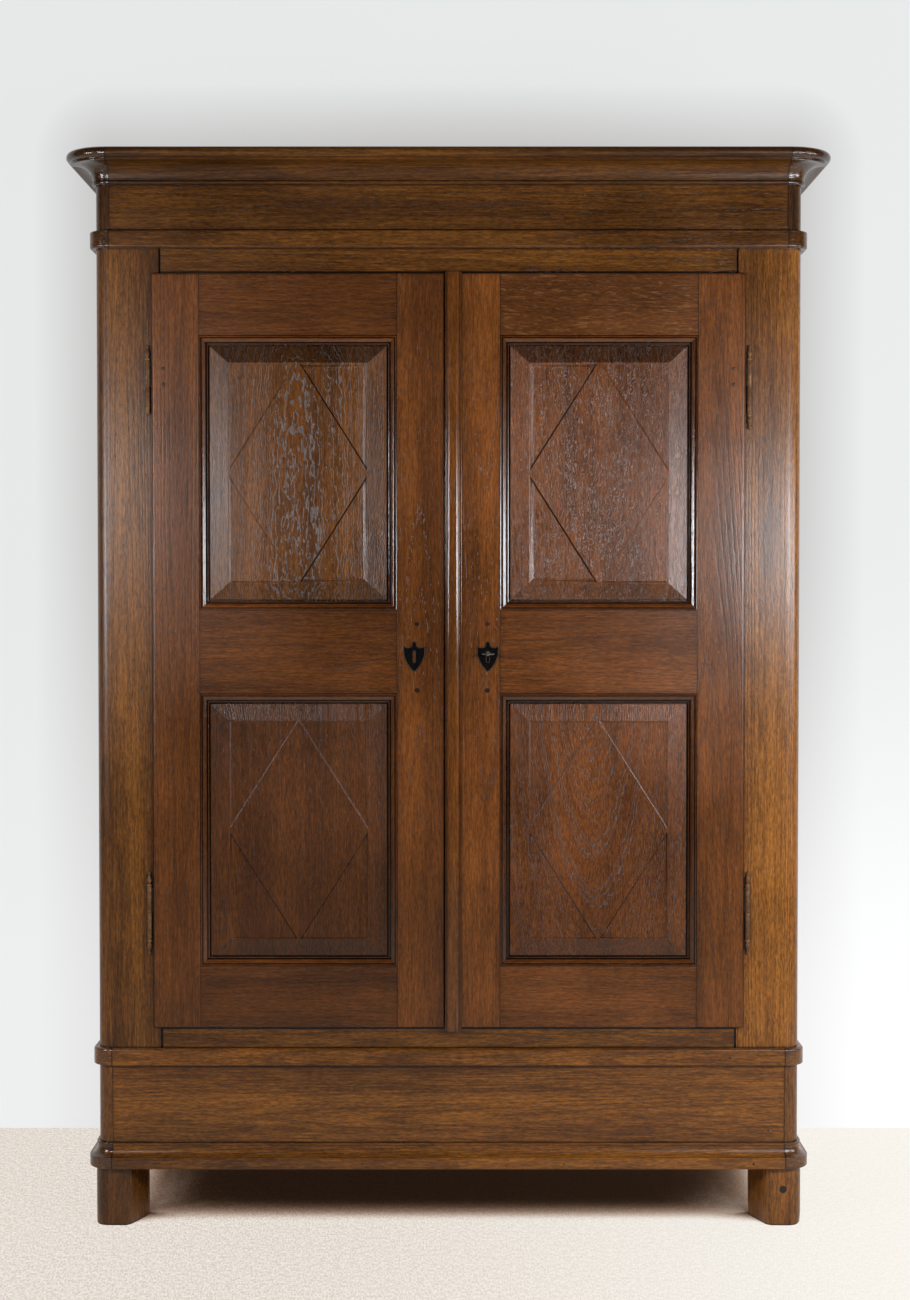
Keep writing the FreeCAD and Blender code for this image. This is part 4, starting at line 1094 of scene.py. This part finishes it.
def fitting(name, shape, body, material, replaced=(), least=1e-4):
    """A metal piece: its sharp edges are taken down a little and marked as rubbed bright. Its
    wide faces aren't: those that look forwards count as wide from a given area on."""
    bmesh.ops.recalc_face_normals(shape, faces=shape.faces)
    rubbed = shape.verts.layers.float.new("rubbed")
    made = rounded(shape, 0.00035, 2, 50)
    for vert in made["verts"]:
        vert[rubbed] = 1.0
    edging = set(made["faces"])
    wide = [face for face in shape.faces if face not in edging
            and face.calc_area() > (least if abs(face.normal.y) > 0.99 else 1e-4)]
    if wide:
        bmesh.ops.inset_region(shape, faces=wide, thickness=0.0005, use_boundary=True,
                               use_even_offset=True)
        for face in wide:
            for vert in face.verts:
                vert[rubbed] = 0.0
    finished(name, shape, body, material, replaced, smooth=40)


barrel, knuckle, pin, bore = 0.0045, 0.052, 0.0025, 0.0026
hinge_levels = (1.650, 0.619)
hinge_x, hinge_y, leaf_edge, post_leaf_rear = 0.588, -0.23625, 0.5575, -0.20325
half_leaf = 0.0015
finial = [(0.0032, 0.0), (0.0030, 0.0008), (0.0046, 0.0014), (0.0049, 0.0028), (0.0046, 0.0042),
          (0.0029, 0.0050), (0.0027, 0.0070), (0.0036, 0.0095), (0.0043, 0.0125), (0.0041, 0.0150),
          (0.0031, 0.0185), (0.0022, 0.0215), (0.0017, 0.0232), (0.0022, 0.0243),
          (0.0028, 0.0262), (0.0025, 0.0282), (0.0013, 0.0296), (0.0, 0.0300)]
sleeve = [(0.0, 0.041), (bore, 0.041), (bore, 0.0), (barrel - 0.0004, 0.0), (barrel, 0.0005),
          (barrel, knuckle - 0.001), (barrel - 0.0005, knuckle)]
sleeve += [(r, knuckle + z) for r, z in finial]
pintle = [(0.0, 0.040), (pin - 0.0006, 0.0398), (pin, 0.039), (pin, -0.0004),
          (barrel - 0.0004, -0.0004), (barrel, -0.0010), (barrel, 0.001 - knuckle),
          (barrel - 0.0005, -knuckle)]

pintles = bmesh.new()
for side, way in SIDES:
    sleeves, leaves = bmesh.new(), bmesh.new()
    x = hinge_x * way
    for level in hinge_levels:
        turned(sleeves, sleeve, (x, hinge_y, level))
        leaf = sorted((leaf_edge * way, (hinge_x - 0.0034) * way))
        box_between(leaves, (leaf[0], hinge_y - half_leaf, level + 0.002),
                    (leaf[1], hinge_y + half_leaf, level + 0.050))
        lost = side == "left" and level > key_level
        tip = [(0.0, -knuckle)] if lost else [(r, -knuckle - z) for r, z in finial]
        turned(pintles, pintle + tip, (x, hinge_y, level))
        box_between(pintles, (x - half_leaf, hinge_y + 0.003, level - 0.050),
                    (x + half_leaf, post_leaf_rear, level - 0.002))
    for part, form, paint in (("sleeves_turned", sleeves, dull_brass),
                              ("leaves", leaves, brass_in_painted_shade)):
        fitting(f"{side}_{part}", form, f"{side}_door", paint,
                [f"{side}_hinge_sleeves"])
fitting("pintles_turned", pintles, "carcass", dull_brass, ["hinge_pintles"])


# --- Nails and pins ----------------------------------------------------------------------------
# Each hinge leaf is held in its stile by two iron pins, driven through from the front. The
# mouldings and the plinth have a few rusted nail heads, and the right foot has a dark knot.

rusted_iron = metal("rusted_iron", (0.045, 0.024, 0.015), (0.016, 0.008, 0.005), 0.3, 0.6,
                    0.45, 0.7, 0.3)
for side, way in SIDES:
    places = [(way * 0.5565, door_front, level + rise) for level in hinge_levels
              for rise in (0.005, 0.036)]
    fitting(f"{side}_hinge_pins", studded(f"{side}_pins", places, 0.0038, 0.0004, rusted_iron),
            f"{side}_door", rusted_iron)

nails = [(x, front_y - 0.020, 0.126) for x in (-0.602, -0.48, -0.17, 0.227, 0.600)]
nails += [(-0.63, front_y, 0.217), (0.631, front_y, 0.187), (0.554, front_y - 0.011, 0.334)]
fitting("nails_in_base", studded("nails", nails, 0.0022, 0.0003, rusted_iron), "carcass",
        rusted_iron)
knot = [(0.660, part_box("foot_front_right")[0].y, 0.072)]
carcass_piece("knot_in_foot", studded("knot", knot, 0.0068, 0.0002, golden_oak), along="Y",
              shade=0.12)


# --- Escutcheons and key ----------------------------------------------------------------------
# Two small blackened iron shields are let on flat over the lock and over a blind slot. The old
# iron key has an oval bow, which stands level here, a collar and a flat bit.

black_iron = metal("black_iron", (0.005, 0.004, 0.0035), (0.002, 0.0015, 0.0015), 0.25, 0.6,
                   0.42, 0.6, 0.0, pits=0.3, bright=(0.17, 0.125, 0.095), shine_level=0.03)
for side, _ in SIDES:
    node = f"{side}_escutcheon"
    fitting(f"{side}_shield", welded(node), f"{side}_door", black_iron, [node],
            least=1e-6)

bare_iron = metal("bare_iron", (0.26, 0.235, 0.21), (0.05, 0.032, 0.02), 0.40, 0.68,
                  0.28, 0.60, 0.9)
key_x = 0.077
shape = bmesh.new()
turned(shape, [(0, 0), (0.0031, 0.0), (0.0033, 0.0006), (0.0042, 0.0015), (0.0042, 0.0045),
               (0.0033, 0.0054), (0.0028, 0.0060), (0.0028, 0.0555), (0.0022, 0.056), (0, 0.056)],
       (key_x, door_front - 0.0135, key_level), axis="Y")
box_between(shape, (key_x + 0.0026, door_front + 0.033, key_level - 0.0014),
            (key_x + 0.0125, door_front + 0.044, key_level + 0.0014))
bow_centre = Vector((key_x, door_front - 0.023, key_level))
around, through = 36, 10
bow = []
for i in range(around):
    x, y = math.cos(2 * math.pi * i / around), math.sin(2 * math.pi * i / around)
    bow.append([shape.verts.new(bow_centre + Vector((0.0106 * x, 0.0086 * y, 0))
                                + Vector((x, y, 0)) * 0.0023 * math.cos(a)
                                + Vector((0, 0, 0.0018 * math.sin(a))))
                for a in (2 * math.pi * k / through for k in range(through))])
for first, second in zip(bow, bow[1:] + bow[:1]):
    for k in range(through):
        shape.faces.new((first[k], second[k], second[(k + 1) % through], first[(k + 1) % through]))
fitting("key_forged", shape, "key", bare_iron, ["key"])


# --- Lock and bolts ---------------------------------------------------------------------------
# Behind the doors: a box lock with its bolt on the right door, a strike plate on the left one,
# and two flat sliding bolts in staples that hold the left door to the rails.

for name, node, body in (("lock_box", "lock_case", "right_door"),
                         ("lock_tongue", "lock_bolt", "lock_bolt"),
                         ("strike", "strike_plate", "left_door"),
                         ("bolt_upper", "upper_bolt", "upper_bolt"),
                         ("bolt_lower", "lower_bolt", "lower_bolt"),
                         ("bolt_staples", "bolt_guides", "left_door")):
    fitting(name, welded(node), body, bare_iron, [node], least=1e-6)

low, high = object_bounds()
